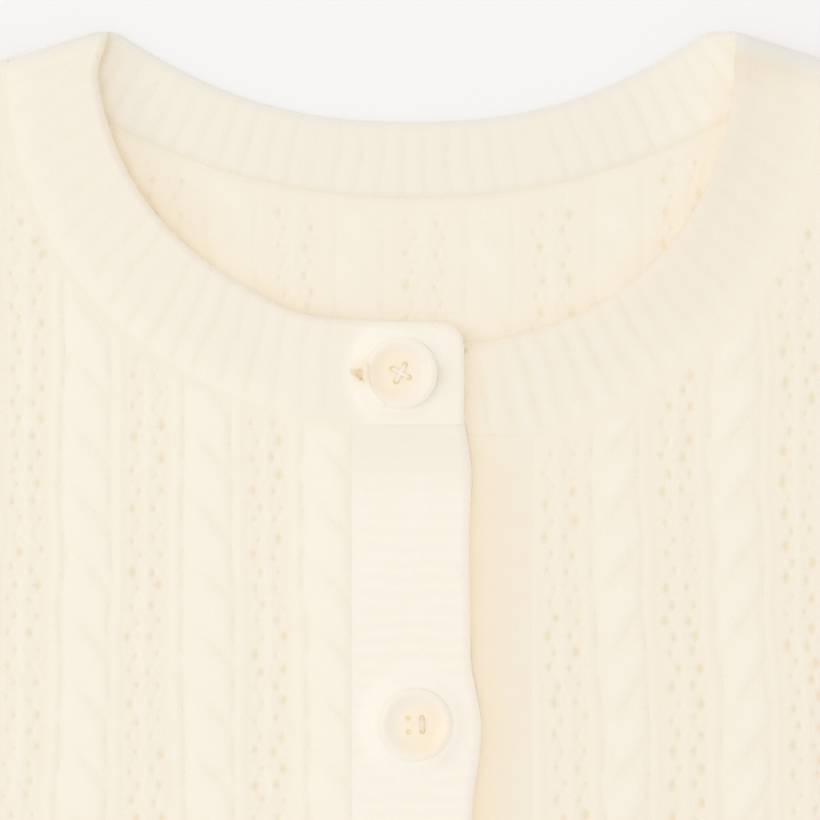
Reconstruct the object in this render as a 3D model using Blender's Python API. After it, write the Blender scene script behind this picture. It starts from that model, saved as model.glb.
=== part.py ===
"""Knitted baby vest, laid flat and buttoned: its construction solids.

Metres, +Z up. The vest lies on its back panel with the shoulders towards +Y, and is seen from
above. Right and left are the wearer's, so the right front is on the -X side. Plan curves are
worked out from the shoulder's neck point at Y = 0, and the whole vest is centred at the end.
"""
import math

import bmesh
import bpy
from mathutils import Vector
from mathutils.geometry import delaunay_2d_cdt

MM = 0.001

# Driving dimensions of the garment.
LENGTH = 325 * MM
HEM_RIB = 35 * MM
CHEST_HALF = 140 * MM
HEM_HALF = 149 * MM
SHOULDER_HALF = 103 * MM
SHOULDER_SLOPE = math.radians(19.5)
SHOULDER_CREST = 2 * MM
HEM_DRAW = 0.985
ARMHOLE_DEPTH = 135 * MM

# The neck opening, from its free edge out to the seam of its band.
NECK_HALF = 66 * MM
NECK_SEAM_HALF = 84 * MM
NECK_POWER = 2.15
NECK_DROP = {"right": 60 * MM, "left": 64.5 * MM}
NECKBAND_FRONT = 21.5 * MM
NECK_BACK_DROP = 20.5 * MM
NECK_BACK_POWER = 2.2
NECK_BACK_SHIFT = -2 * MM
NECK_BACK_SEAM = 34.4 * MM

# Button bands, placed across the front as the buttoned vest lies.
TOP_BAND = (-13 * MM, 11.4 * MM)
UNDER_BAND = (-6.2 * MM, 23.8 * MM)
TAB_CORNER = 5 * MM
BUTTON_SPACING = 72.5 * MM
FIRST_BUTTON = 70.6 * MM
BUTTON_COUNT = 4
FIRST_BUTTON_X = -2.1 * MM
BUTTON_X = 0.4 * MM

# Armhole bands: the back one stands further out than the front one.
ARMBAND = 13 * MM
ARMHOLE_WAIST = {"front": 94 * MM, "back": 98 * MM}
ARMHOLE_WAIST_DEPTH = 76 * MM
ARMHOLE_POWER = 2.4

# Layers of cloth above the surface.
GAP = 0.3 * MM
BACK_CLOTH = 1.7 * MM
BACK_LAYER = 2.2 * MM
FRONT_UNDER = BACK_LAYER + GAP
CLOTH = 1.9 * MM
TOP_UNDER = FRONT_UNDER + CLOTH + GAP
TOP_CLOTH = 2.1 * MM
CLIMB_FROM = -32 * MM
EDGE_ROUND = 0.9 * MM

# Knit relief: a 1 by 1 rib, and a repeat of rope cable, single ribs and openwork.
RIB_PITCH = 4.3 * MM
RIB_HEIGHT = 0.5 * MM
BAND_RIB_HEIGHT = 0.25 * MM
CABLE_HALF = 5 * MM
CABLE_BODY = 2.6 * MM
CABLE_PERIOD = 13.2 * MM
CABLE_SLANT = 1.5
CABLE_START = 0.89
CABLE_LOW = 0.45 * MM
CABLE_SWELL = 0.95 * MM
GROOVE_DEPTH = 0.25 * MM

# Straight columns of one repeat: offset from the cable's middle, height over the plain cloth.
STRAIGHT_COLUMNS = (
    ("rib", 6.4 * MM, 0.6 * MM),
    ("openwork edge", 8.2 * MM, 0.0),
    ("openwork edge", 16.4 * MM, 0.0),
    ("rib", 18.2 * MM, 0.6 * MM),
)

# First cable's middle, the pitch and number of cables, and how far the columns lean to the left.
REPEATS = {
    "right": {"first": -18.5 * MM, "pitch": -24.8 * MM, "cables": 5, "lean": 1.4 * MM},
    "left": {"first": 41.1 * MM, "pitch": 24.6 * MM, "cables": 4, "lean": 2.9 * MM},
}
LEAN_FROM = 90 * MM
LEAN_OVER = 70 * MM
SHORTEST_COLUMN = 8 * MM

# How far the top band's free edge sways out, at each distance below the shoulder.
BAND_SWAY = (
    (60 * MM, -1.2 * MM),
    (75 * MM, -1.6 * MM),
    (92 * MM, 0.3 * MM),
    (104 * MM, -0.2 * MM),
    (128 * MM, 0.1 * MM),
    (144 * MM, 2.3 * MM),
    (163 * MM, 0.3 * MM),
    (200 * MM, -0.2 * MM),
    (218 * MM, 1.4 * MM),
    (250 * MM, -0.3 * MM),
    (290 * MM, 1.2 * MM),
    (325 * MM, 0.2 * MM),
)

# Button section: distance from the axis and height over its underside.
BUTTON_PROFILE = (
    (0.0, 0.0),
    (5.6 * MM, 0.0),
    (7.1 * MM, 0.7 * MM),
    (7.5 * MM, 1.7 * MM),
    (7.0 * MM, 2.8 * MM),
    (6.2 * MM, 3.1 * MM),
    (5.3 * MM, 2.6 * MM),
    (4.6 * MM, 1.9 * MM),
    (0.0, 1.7 * MM),
)
BUTTON_SIDES = 24
HOLE_RADIUS = 0.7 * MM
HOLE_OFFSET = 1.5 * MM
HOLE_SIDES = 8

FINISHES = {
    "cream_knit": {"color": (0.90, 0.82, 0.66), "roughness": 0.92},
    "cream_button": {"color": (0.92, 0.83, 0.62), "roughness": 0.3},
}


def smooth(edge_low, edge_high, value):
    """Eases from 0 to 1 as value goes between two edges."""
    share = min(1.0, max(0.0, (value - edge_low) / (edge_high - edge_low)))
    return share * share * (3 - 2 * share)


def mix(a, b, share):
    """A point a share of the way from a to b."""
    return tuple(p + (q - p) * share for p, q in zip(a, b))


def crested(drop):
    """Softens the peak of the shoulder where a drop below it begins."""
    return -(math.hypot(drop, SHOULDER_CREST) - SHOULDER_CREST)


def shoulder_y(x):
    """Height of the shoulder line at a distance from the middle."""
    return crested(max(0.0, abs(x) - NECK_HALF) * math.tan(SHOULDER_SLOPE))


def quarter(half, drop, start_y, steps=40):
    """Quarter of a rounded-square curve, from the shoulder at +X down to the middle."""
    points = []
    for i in range(steps + 1):
        angle = math.pi / 2 * i / steps
        across = max(0.0, math.cos(angle)) ** (2 / NECK_POWER)
        down = max(0.0, math.sin(angle)) ** (2 / NECK_POWER)
        points.append((half * across, start_y - drop * down))
    return points


def resample(points, count):
    """Spreads count + 1 points evenly along a line of points."""
    lengths = [0.0]
    for a, b in zip(points, points[1:]):
        lengths.append(lengths[-1] + math.dist(a, b))
    spread = []
    k = 0
    for i in range(count + 1):
        target = lengths[-1] * i / count
        while k < len(points) - 2 and lengths[k + 1] < target:
            k += 1
        span = max(lengths[k + 1] - lengths[k], 1e-12)
        spread.append(mix(points[k], points[k + 1], min(1.0, (target - lengths[k]) / span)))
    return spread


def run_length(points):
    """Length of a line of points."""
    return sum(math.dist(a, b) for a, b in zip(points, points[1:]))


def offset(points, distance):
    """Moves an open line sideways, to the left of its direction for a positive distance."""
    moved = []
    for i, point in enumerate(points):
        before = points[max(0, i - 1)]
        after = points[min(len(points) - 1, i + 1)]
        along = Vector((after[0] - before[0], after[1] - before[1])).normalized()
        moved.append((point[0] - along.y * distance, point[1] + along.x * distance))
    return moved


def mirrored(points):
    """The same line on the other side of the middle."""
    return [(-x, y) for x, y in points]


def side_sign(side):
    """The wearer's right lies towards -X."""
    return -1 if side == "right" else 1


def neck_free_edge(side):
    """Free edge of the front neckband, from the shoulder to the middle, drawn on the +X side."""
    return quarter(NECK_HALF, NECK_DROP[side], 0.0)


def neck_seam(side):
    """Seam of the front neckband, from the shoulder to the middle, drawn on the +X side."""
    start = shoulder_y(NECK_SEAM_HALF)
    return quarter(NECK_SEAM_HALF, NECK_DROP[side] + NECKBAND_FRONT + start, start)


def front_edge_x(side):
    """Distance from the middle of a front's own edge, where its button band begins."""
    return -TOP_BAND[0] if side == "right" else UNDER_BAND[1]


def seam_foot(side):
    """Height, in the plan, of the neckband's seam where it meets the button band."""
    return min(y for x, y in neck_seam(side) if x >= front_edge_x(side))


def back_neck_free_edge(steps=36):
    """Free edge of the back neck, a shallow dip between the shoulders, from +X to -X."""
    points = []
    for i in range(steps + 1):
        x = NECK_HALF - 2 * NECK_HALF * i / steps
        share = abs(x - NECK_BACK_SHIFT) / (NECK_HALF - abs(NECK_BACK_SHIFT))
        points.append((x, crested(NECK_BACK_DROP * max(0.0, 1 - share ** NECK_BACK_POWER))))
    return points


def back_neck_seam(steps=36):
    """Seam of the back neckband with the back panel, from +X to -X."""
    rise = NECK_BACK_SEAM + shoulder_y(NECK_SEAM_HALF)
    points = []
    for i in range(steps + 1):
        x = NECK_SEAM_HALF - 2 * NECK_SEAM_HALF * i / steps
        share = abs(x) / NECK_SEAM_HALF
        points.append((x, -NECK_BACK_SEAM + rise * share ** NECK_POWER))
    return points


def armhole_seam(layer, steps=30):
    """Armhole's seam, from the shoulder's tip down to the underarm, drawn on the +X side."""
    waist = ARMHOLE_WAIST[layer]
    tip = (SHOULDER_HALF, shoulder_y(SHOULDER_HALF))
    points = []
    for i in range(steps + 1):
        share = i / steps
        y = tip[1] + (-ARMHOLE_DEPTH - tip[1]) * share
        above = smooth(-ARMHOLE_WAIST_DEPTH, tip[1], y)
        below = max(0.0, (-ARMHOLE_WAIST_DEPTH - y) / (ARMHOLE_DEPTH - ARMHOLE_WAIST_DEPTH))
        scoop = 1 - math.sqrt(max(0.0, 1 - below ** ARMHOLE_POWER))
        x = waist + (tip[0] - waist) * above + (CHEST_HALF - waist) * scoop
        points.append((x, y))
    return resample(points, steps)


def side_x(y):
    """Half width of the body below the underarm."""
    share = (-y - ARMHOLE_DEPTH) / (LENGTH - HEM_RIB - ARMHOLE_DEPTH)
    return CHEST_HALF + (HEM_HALF - CHEST_HALF) * min(1.0, max(0.0, share))


def sway(y):
    """How far the top band's free edge sways out at a height in the plan."""
    depth = -y
    for (d0, s0), (d1, s1) in zip(BAND_SWAY, BAND_SWAY[1:]):
        if depth <= d1:
            return s0 + (s1 - s0) * smooth(d0, d1, depth)
    return BAND_SWAY[-1][1]


def front_under(side, x):
    """Underside of a front: the right one climbs to the top band near the middle."""
    if side == "left":
        return FRONT_UNDER
    return FRONT_UNDER + (TOP_UNDER - FRONT_UNDER) * smooth(CLIMB_FROM, TOP_BAND[0], x)


def column_x(side, start, y):
    """Where a column that starts at a distance from the middle runs at a height in the plan."""
    return start + REPEATS[side]["lean"] * smooth(LEAN_FROM, LEAN_FROM + LEAN_OVER, -y)


def cable_row(side, u, turn):
    """Where, down the plan, a cable has made a number of turns at a distance u from its middle."""
    return (turn - CABLE_START) * CABLE_PERIOD + side_sign(side) * CABLE_SLANT * u


def cable_height(u, turn):
    """Height of the rope cable at a distance u from its middle: a strand crests at each turn."""
    if abs(u) >= CABLE_HALF:
        return -GROOVE_DEPTH
    strand = 0.5 + 0.5 * math.cos(2 * math.pi * turn)
    crown = math.sqrt(1 - (u / CABLE_HALF) ** 2)
    return (CABLE_LOW + CABLE_SWELL * strand) * crown


def inside(point, rim):
    """Whether a plan point lies in a closed outline."""
    x, y = point
    hit = False
    for (x0, y0), (x1, y1) in zip(rim, rim[1:] + rim[:1]):
        if (y0 > y) != (y1 > y) and x < x0 + (x1 - x0) * (y - y0) / (y1 - y0):
            hit = not hit
    return hit


def inset(rim, distance):
    """Moves a closed anticlockwise outline inwards."""
    moved = []
    for i, point in enumerate(rim):
        before = Vector(rim[i - 1])
        here = Vector(point)
        after = Vector(rim[(i + 1) % len(rim)])
        first = (here - before).normalized()
        second = (after - here).normalized()
        inward = Vector((-first.y - second.y, first.x + second.x)).normalized()
        shrink = max(0.5, inward.dot(Vector((-first.y, first.x))))
        moved.append(tuple(here + inward * distance / shrink))
    return moved


def clip_column(x_at, rim, low, high, step=1 * MM):
    """Ends, in the plan, of the longest stretch of a column that lies in an outline."""
    best = None
    start = None
    steps = int((high - low) / step)
    for i in range(steps + 1):
        y = low + i * step
        if inside((x_at(y), y), rim):
            start = y if start is None else start
            if best is None or y - start > best[1] - best[0]:
                best = (start, y)
        else:
            start = None
    return best


def make_object(name, bm, finish):
    """Turns a bmesh into a shaded object with its material."""
    mesh = bpy.data.meshes.new(name)
    bmesh.ops.recalc_face_normals(bm, faces=bm.faces)
    bm.to_mesh(mesh)
    bm.free()
    mesh.materials.append(finish)
    mesh.shade_smooth()
    mesh.set_sharp_from_angle(angle=math.radians(50))
    obj = bpy.data.objects.new(name, mesh)
    bpy.context.scene.collection.objects.link(obj)
    return obj


def fill_plan(rim, lines):
    """Triangles that fill an outline and keep every line of points inside it as edges."""
    points = list(rim)
    edges = [(i, (i + 1) % len(rim)) for i in range(len(rim))]
    places = {}
    for line in lines:
        spots = []
        for point in line:
            if point not in places:
                places[point] = len(points)
                points.append(point)
            spots.append(places[point])
        edges += list(zip(spots, spots[1:]))
    flat_points = [Vector(point) for point in points]
    verts, _, faces, _, _, _ = delaunay_2d_cdt(flat_points, edges, [], 1, 1e-7)
    if len(verts) != len(points):
        raise ValueError("Two columns of a panel cross, or one touches its outline")
    return points, [tuple(face) for face in faces]


def panel(name, rim, lines, under_lines, under, top, finish, rounded="upper"):
    """A wall of cloth over an anticlockwise plan outline, its upper or under rim rounded."""
    bm = bmesh.new()
    loops = []
    for crease_lines, height, face in ((under_lines, under, "under"), (lines, top, "upper")):
        outline = inset(rim, EDGE_ROUND) if rounded == face else rim
        points, faces = fill_plan(outline, crease_lines)
        verts = [bm.verts.new((x, y, height(x, y))) for x, y in points]
        for corners in faces:
            bm.faces.new([verts[i] for i in corners])
        loops.append(verts[:len(rim)])
    if rounded == "upper":
        side = [bm.verts.new((x, y, top(x, y) - EDGE_ROUND)) for x, y in rim]
    else:
        side = [bm.verts.new((x, y, under(x, y) + EDGE_ROUND)) for x, y in rim]
    loops.insert(1, side)
    for low, high in zip(loops, loops[1:]):
        for i in range(len(rim)):
            j = (i + 1) % len(rim)
            bm.faces.new((low[i], low[j], high[j], high[i]))
    return make_object(name, bm, finish)


def band(name, rails, under, top, rib_at, finish):
    """A strip of cloth between two rails of plan points, ribbed across on its upper face.

    Its section has a rounded free edge at the first rail and a seam edge at the second.
    """
    bm = bmesh.new()
    loops = []
    for i, (free, seam) in enumerate(rails):
        edge = EDGE_ROUND / math.dist(free, seam)
        rise = rib_at(i)
        section = (
            (edge, under(*free), 0.0),
            (1.0, under(*seam), 0.0),
            (1.0, top(*seam) - 0.5 * EDGE_ROUND, 0.5 * rise),
            (1 - edge, top(*seam), rise),
            (edge, top(*free), rise),
            (0.0, 0.5 * (under(*free) + top(*free)), 0.5 * rise),
        )
        loops.append([bm.verts.new((*mix(free, seam, share), z + up)) for share, z, up in section])
    for a, b in zip(loops, loops[1:]):
        for k in range(len(a)):
            m = (k + 1) % len(a)
            bm.faces.new((a[k], a[m], b[m], b[k]))
    bm.faces.new(loops[0])
    bm.faces.new(list(reversed(loops[-1])))
    return make_object(name, bm, finish)


def rib_count(length):
    """Even number of stations along a ribbed band, a crest and a groove to each rib."""
    return 2 * max(2, round(length / RIB_PITCH))


def every_other(height, fade=None):
    """Height of a rib at each station: crests on the odd ones."""
    def rise(i):
        crest = height if i % 2 else 0.0
        return crest * (fade(i) if fade else 1.0)
    return rise


def flat(height):
    """A level surface."""
    return lambda x, y: height


def front_rim(side):
    """Plan outline of a front, drawn anticlockwise, its seams clear of its bands."""
    seam = offset(neck_seam(side), GAP)
    middle = front_edge_x(side) + GAP
    corner = (middle, seam_foot(side) - GAP)
    neck = resample([p for p in seam if p[0] > middle + GAP] + [corner], 26)
    hem = -LENGTH + HEM_RIB + GAP
    hem_line = resample([(middle, hem), (side_x(hem), hem)], 6)
    edge = resample([(side_x(hem), hem), (CHEST_HALF, -ARMHOLE_DEPTH)], 8)
    arm = list(reversed(resample(armhole_seam("front"), 22)))
    tip = arm[-1]
    shoulder = resample([tip, (seam[0][0], shoulder_y(seam[0][0]))], 3)
    front_edge = resample([corner, (middle, hem)], round(2 * (corner[1] - hem) / CABLE_PERIOD))
    rim = neck[1:-1] + front_edge + hem_line[1:] + edge[1:] + arm[1:] + shoulder[1:]
    rim = rim if side == "left" else mirrored(rim)
    return rim if signed_area(rim) > 0 else list(reversed(rim))


def signed_area(rim):
    """Area of a closed outline, positive where it runs anticlockwise."""
    turns = zip(rim, rim[1:] + rim[:1])
    return 0.5 * sum(a[0] * b[1] - b[0] * a[1] for a, b in turns)


def straight_lines(side, room, heights):
    """Lines down the single ribs and openwork edges of a front."""
    repeat = REPEATS[side]
    lines = []
    for k in range(-1, repeat["cables"] + 1):
        for _, away, rise in STRAIGHT_COLUMNS:
            start = repeat["first"] + repeat["pitch"] * k + away
            span = clip_column(lambda y, x=start: column_x(side, x, y), room, -LENGTH, 0.0)
            if not span or span[1] - span[0] < SHORTEST_COLUMN:
                continue
            ys = [y for y, _ in resample([(span[0], 0), (span[1], 0)], 4)]
            line = [(column_x(side, start, y), y) for y in ys]
            heights.update((point, rise) for point in line)
            lines.append(line)
    return lines


def cable_lines(side, room, heights):
    """Lines down a front's rope cables, and across them along each strand's crest and valley."""
    repeat = REPEATS[side]
    lines = []
    for k in range(repeat["cables"]):
        across = {}
        for away in (-CABLE_HALF, -CABLE_BODY, 0.0, CABLE_BODY, CABLE_HALF):
            start = repeat["first"] + repeat["pitch"] * k + away
            span = clip_column(lambda y, x=start: column_x(side, x, y), room, -LENGTH, 0.0)
            if not span:
                continue
            line = []
            step = 2 if abs(away) == CABLE_HALF else 1
            for quarter_turn in range(-4 * round(LENGTH / CABLE_PERIOD), 4, step):
                y = cable_row(side, away, quarter_turn / 4)
                if span[0] <= y <= span[1]:
                    point = (column_x(side, start, y), y)
                    heights[point] = cable_height(away, quarter_turn / 4)
                    line.append(point)
                    across.setdefault(quarter_turn, []).append(point)
            lines.append(line)
        lines += [points for turn, points in across.items() if turn % 2 == 0 and len(points) > 1]
    return lines


def build_front(side, finish):
    """A front of the vest, its cables and ribs raised in its upper points."""
    rim = front_rim(side)
    room = inset(rim, 2 * EDGE_ROUND)
    heights = {}
    lines = straight_lines(side, room, heights) + cable_lines(side, room, heights)

    def under(x, y):
        return front_under(side, x)

    def top(x, y):
        return under(x, y) + CLOTH + heights.get((x, y), 0.0)

    under_lines = []
    if side == "right":
        for step in range(1, 5):
            x = TOP_BAND[0] + (CLIMB_FROM - TOP_BAND[0]) * step / 4
            span = clip_column(lambda y, x=x: x, room, -LENGTH, 0.0)
            under_lines.append([(x, y) for y, _ in resample([(span[0], 0), (span[1], 0)], 6)])
    return panel(f"front_{side}", rim, lines, under_lines, under, top, finish)


def build_back(finish):
    """The back, plain inside and flat where it rests."""
    seam = offset(back_neck_seam(), GAP)
    neck = resample(seam, 28)
    arm = list(reversed(resample(armhole_seam("back"), 20)))
    hem = -LENGTH + HEM_RIB + GAP
    side = resample([(side_x(hem), hem), (CHEST_HALF, -ARMHOLE_DEPTH)], 6)
    shoulder = resample([arm[-1], neck[0]], 2)
    right = mirrored(list(reversed(side + arm[1:] + shoulder[1:])))
    rim = side + arm[1:] + shoulder[1:-1] + neck + right[1:]
    rim = rim if signed_area(rim) > 0 else list(reversed(rim))
    return panel("back_panel", rim, [], [], flat(0.0), flat(BACK_LAYER), finish, rounded="under")


def build_neckband_back(finish):
    """Back stretch of the neckband, its ribs raised on the face that shows inside the neck."""
    count = rib_count(run_length(back_neck_free_edge()))
    rails = list(zip(resample(back_neck_free_edge(), count), resample(back_neck_seam(), count)))
    rise = every_other(BACK_LAYER - BACK_CLOTH)
    return band("neckband_back", rails, flat(0.0), flat(BACK_CLOTH), rise, finish)


def build_neckband_right(finish):
    """Right front stretch of the neckband, which ends in the plain tab that laps over."""
    middle = front_edge_x("right")
    free = [p for p in neck_free_edge("right") if p[0] > middle]
    seam = [p for p in neck_seam("right") if p[0] > middle]
    count = rib_count(run_length(offset(free, -NECKBAND_FRONT / 2)))
    rails = list(zip(mirrored(resample(free, count)), mirrored(resample(seam, count))))
    level = -NECK_DROP["right"]
    foot = seam_foot("right")
    end = TOP_BAND[1] + sway(level)
    tab = [-0.8 * middle, -0.4 * middle, 0.0, end - TAB_CORNER]
    tab += [end - TAB_CORNER * (1 - math.sin(math.radians(turned))) for turned in (30, 60, 80)]
    for x in tab:
        turn = max(0.0, x - (end - TAB_CORNER))
        drop = TAB_CORNER - math.sqrt(TAB_CORNER ** 2 - turn ** 2)
        rails.append(((x, level - drop), (x, foot)))

    def under(x, y):
        return front_under("right", x)

    def top(x, y):
        return under(x, y) + CLOTH + (TOP_CLOTH - CLOTH) * smooth(-1.5 * middle, 0.0, x)

    rise = every_other(RIB_HEIGHT, lambda i: 1.0 if i <= count - 2 else 0.0)
    return band("neckband_right", rails, under, top, rise, finish)


def build_neckband_left(finish):
    """Left front stretch of the neckband, which passes under the tab."""
    end = UNDER_BAND[0]
    free = neck_free_edge("left") + [(end, -NECK_DROP["left"])]
    seam = [p for p in neck_seam("left") if p[0] >= front_edge_x("left")]
    seam.append((end, seam_foot("left")))
    count = rib_count(run_length(offset(free, -NECKBAND_FRONT / 2)))
    rails = list(zip(resample(free, count), resample(seam, count)))
    clear = TOP_BAND[1] + 2 * MM
    rise = every_other(RIB_HEIGHT, lambda i: 1.0 if min(p[0] for p in rails[i]) > clear else 0.0)
    top = flat(FRONT_UNDER + CLOTH)
    return band("neckband_left", rails, flat(FRONT_UNDER), top, rise, finish)


def build_front_bands(finish):
    """Button band underneath and buttonhole band on top, both down to the hem's edge."""
    start = seam_foot("left") - GAP
    rows = resample([(start, 0), (-LENGTH, 0)], 20)
    rails = [((UNDER_BAND[0], y), (UNDER_BAND[1], y)) for y, _ in rows]
    top = flat(FRONT_UNDER + CLOTH)
    band("button_band", rails, flat(FRONT_UNDER), top, lambda i: 0.0, finish)

    start = seam_foot("right") - GAP
    rows = resample([(start, 0), (-LENGTH, 0)], rib_count(LENGTH + start))
    rails = [((TOP_BAND[1] + sway(y), y), (TOP_BAND[0], y)) for y, _ in rows]
    top = flat(TOP_UNDER + TOP_CLOTH - BAND_RIB_HEIGHT)
    rise = every_other(BAND_RIB_HEIGHT)
    band("buttonhole_band", rails, flat(TOP_UNDER), top, rise, finish)


def build_armbands(finish):
    """Ribbed bands round both armholes, a front and a back stretch on each side."""
    for layer, base, cloth, rib in (
        ("front", FRONT_UNDER, CLOTH, RIB_HEIGHT),
        ("back", 0.0, BACK_CLOTH, BACK_LAYER - BACK_CLOTH),
    ):
        seam = armhole_seam(layer)
        clear = offset(seam, GAP)
        free = offset(seam, ARMBAND)
        free[0] = (free[0][0], shoulder_y(free[0][0]))
        clear[0] = (clear[0][0], shoulder_y(clear[0][0]))
        clear[-1] = (clear[-1][0], -ARMHOLE_DEPTH + GAP)
        free[-1] = (CHEST_HALF, -ARMHOLE_DEPTH + ARMBAND)
        count = rib_count(run_length(free))
        rails = list(zip(resample(free, count), resample(clear, count)))
        for side in ("right", "left"):
            turned = rails
            if side == "right":
                turned = [((-a[0], a[1]), (-b[0], b[1])) for a, b in rails]
            name = f"armband_{side}_{layer}"
            band(name, turned, flat(base), flat(base + cloth), every_other(rib), finish)


def build_hems(finish):
    """Ribbed hem of the back and of both fronts."""
    seam = -LENGTH + HEM_RIB
    spans = {
        "hem_back": (-HEM_HALF, HEM_HALF),
        "hem_right": (-HEM_HALF, TOP_BAND[0] - GAP),
        "hem_left": (UNDER_BAND[1] + GAP, HEM_HALF),
    }
    for name, (start, end) in spans.items():
        back = name == "hem_back"
        count = 12 if back else rib_count(end - start)
        xs = [start + (end - start) * i / count for i in range(count + 1)]
        inner = 0.0 if back else min(start, end, key=abs)
        rails = [((inner + (x - inner) * HEM_DRAW, -LENGTH), (x, seam)) for x in xs]
        if back:
            band(name, rails, flat(0.0), flat(BACK_LAYER), lambda i: 0.0, finish)
            continue
        side = name.split("_")[1]

        def under(x, y, side=side):
            return front_under(side, x)

        def top(x, y, side=side):
            return front_under(side, x) + CLOTH

        band(name, rails, under, top, every_other(RIB_HEIGHT), finish)


def button_mesh(finish):
    """A turned button with a raised rim round a shallow dish."""
    bm = bmesh.new()
    verts = [bm.verts.new((r, 0.0, z)) for r, z in BUTTON_PROFILE]
    edges = [bm.edges.new(pair) for pair in zip(verts, verts[1:])]
    bmesh.ops.spin(bm, geom=verts + edges, cent=(0, 0, 0), axis=(0, 0, 1), dvec=(0, 0, 0),
                   angle=2 * math.pi, steps=BUTTON_SIDES, use_merge=False)
    bmesh.ops.remove_doubles(bm, verts=bm.verts, dist=0.01 * MM)
    bmesh.ops.recalc_face_normals(bm, faces=bm.faces)
    mesh = bpy.data.meshes.new("button")
    bm.to_mesh(mesh)
    bm.free()
    mesh.materials.append(finish)
    mesh.shade_smooth()
    mesh.set_sharp_from_angle(angle=math.radians(50))
    return mesh


def hole_cutter_mesh():
    """Four upright pegs that cut a button's sewing holes."""
    bm = bmesh.new()
    for i in range(4):
        angle = math.pi / 4 + math.pi / 2 * i
        reach = HOLE_OFFSET * math.sqrt(2)
        made = bmesh.ops.create_cone(bm, cap_ends=True, segments=HOLE_SIDES,
                                     radius1=HOLE_RADIUS, radius2=HOLE_RADIUS, depth=8 * MM)
        place = Vector((reach * math.cos(angle), reach * math.sin(angle), 1 * MM))
        bmesh.ops.translate(bm, verts=made["verts"], vec=place)
    mesh = bpy.data.meshes.new("hole_cutter")
    bm.to_mesh(mesh)
    bm.free()
    return mesh


def build_buttons(finish):
    """Four buttons down the top band, the first on the neckband's tab."""
    mesh = button_mesh(finish)
    cutter_mesh = hole_cutter_mesh()
    base = TOP_UNDER + TOP_CLOTH + GAP
    for i in range(BUTTON_COUNT):
        middle = FIRST_BUTTON_X if i == 0 else BUTTON_X
        place = (middle, -FIRST_BUTTON - BUTTON_SPACING * i, base)
        button = bpy.data.objects.new(f"button_{i + 1}", mesh)
        cutter = bpy.data.objects.new(f"holes_{i + 1}", cutter_mesh)
        for obj in (button, cutter):
            obj.location = place
            bpy.context.scene.collection.objects.link(obj)
        cutter.hide_render = True
        cutter.display_type = "WIRE"
        cut = button.modifiers.new("sewing holes", "BOOLEAN")
        cut.operation = "DIFFERENCE"
        cut.object = cutter


def make_finish(name, color, roughness):
    """A plain material in the part's own colour."""
    material = bpy.data.materials.new(name)
    material.use_nodes = True
    shader = material.node_tree.nodes["Principled BSDF"]
    shader.inputs["Base Color"].default_value = (*color, 1.0)
    shader.inputs["Roughness"].default_value = roughness
    shader.inputs["Metallic"].default_value = 0.0
    return material


def centre_vest():
    """Puts the origin under the middle of the whole vest's box."""
    bpy.context.view_layer.update()
    corners = [obj.matrix_world @ Vector(corner)
               for obj in bpy.data.objects if not obj.hide_render for corner in obj.bound_box]
    middle = [(min(c[i] for c in corners) + max(c[i] for c in corners)) / 2 for i in (0, 1)]
    for obj in bpy.data.objects:
        obj.location.x -= middle[0]
        obj.location.y -= middle[1]


def main():
    """Builds every piece of the vest."""
    for obj in list(bpy.data.objects):
        bpy.data.objects.remove(obj)
    finishes = {name: make_finish(name, **values) for name, values in FINISHES.items()}
    knit = finishes["cream_knit"]
    build_back(knit)
    build_front("right", knit)
    build_front("left", knit)
    build_neckband_back(knit)
    build_neckband_right(knit)
    build_neckband_left(knit)
    build_front_bands(knit)
    build_armbands(knit)
    build_hems(knit)
    build_buttons(finishes["cream_button"])
    centre_vest()


main()
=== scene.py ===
"""Looks of a knitted baby vest that lies flat and buttoned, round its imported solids.

Metres, +Z up. The vest lies on its back with the shoulders towards +Y. Right and left are the
wearer's, so the right front is on the -X side. Plan points are measured from the shoulder's neck
point, as on a maker's cutting sheet, and move into the frame when a mesh is made.
"""
from __future__ import annotations

import logging
import math
from dataclasses import dataclass
from enum import Enum
from typing import Any, Callable

import bpy
import numpy as np
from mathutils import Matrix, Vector, kdtree
from mathutils.geometry import delaunay_2d_cdt

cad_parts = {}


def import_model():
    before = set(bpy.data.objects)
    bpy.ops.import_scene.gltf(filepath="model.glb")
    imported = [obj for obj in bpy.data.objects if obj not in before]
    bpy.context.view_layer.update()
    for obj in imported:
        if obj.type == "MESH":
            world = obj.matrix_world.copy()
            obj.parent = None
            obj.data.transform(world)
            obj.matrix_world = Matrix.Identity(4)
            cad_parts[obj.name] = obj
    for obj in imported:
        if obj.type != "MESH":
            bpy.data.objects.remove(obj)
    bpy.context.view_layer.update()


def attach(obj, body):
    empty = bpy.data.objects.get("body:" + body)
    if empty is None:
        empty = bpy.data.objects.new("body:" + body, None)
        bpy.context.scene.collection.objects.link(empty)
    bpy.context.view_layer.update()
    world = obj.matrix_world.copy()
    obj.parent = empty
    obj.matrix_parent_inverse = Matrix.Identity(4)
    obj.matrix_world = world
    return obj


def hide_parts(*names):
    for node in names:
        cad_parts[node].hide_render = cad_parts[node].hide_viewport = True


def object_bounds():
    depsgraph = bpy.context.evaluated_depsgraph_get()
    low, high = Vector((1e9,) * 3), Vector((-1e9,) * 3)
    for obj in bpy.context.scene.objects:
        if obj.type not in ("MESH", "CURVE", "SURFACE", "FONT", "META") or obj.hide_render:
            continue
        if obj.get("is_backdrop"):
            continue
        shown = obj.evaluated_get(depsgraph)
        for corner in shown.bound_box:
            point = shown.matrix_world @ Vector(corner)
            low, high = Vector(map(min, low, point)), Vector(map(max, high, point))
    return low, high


MM = 0.001
LOG = logging.getLogger("knit_vest")

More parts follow.
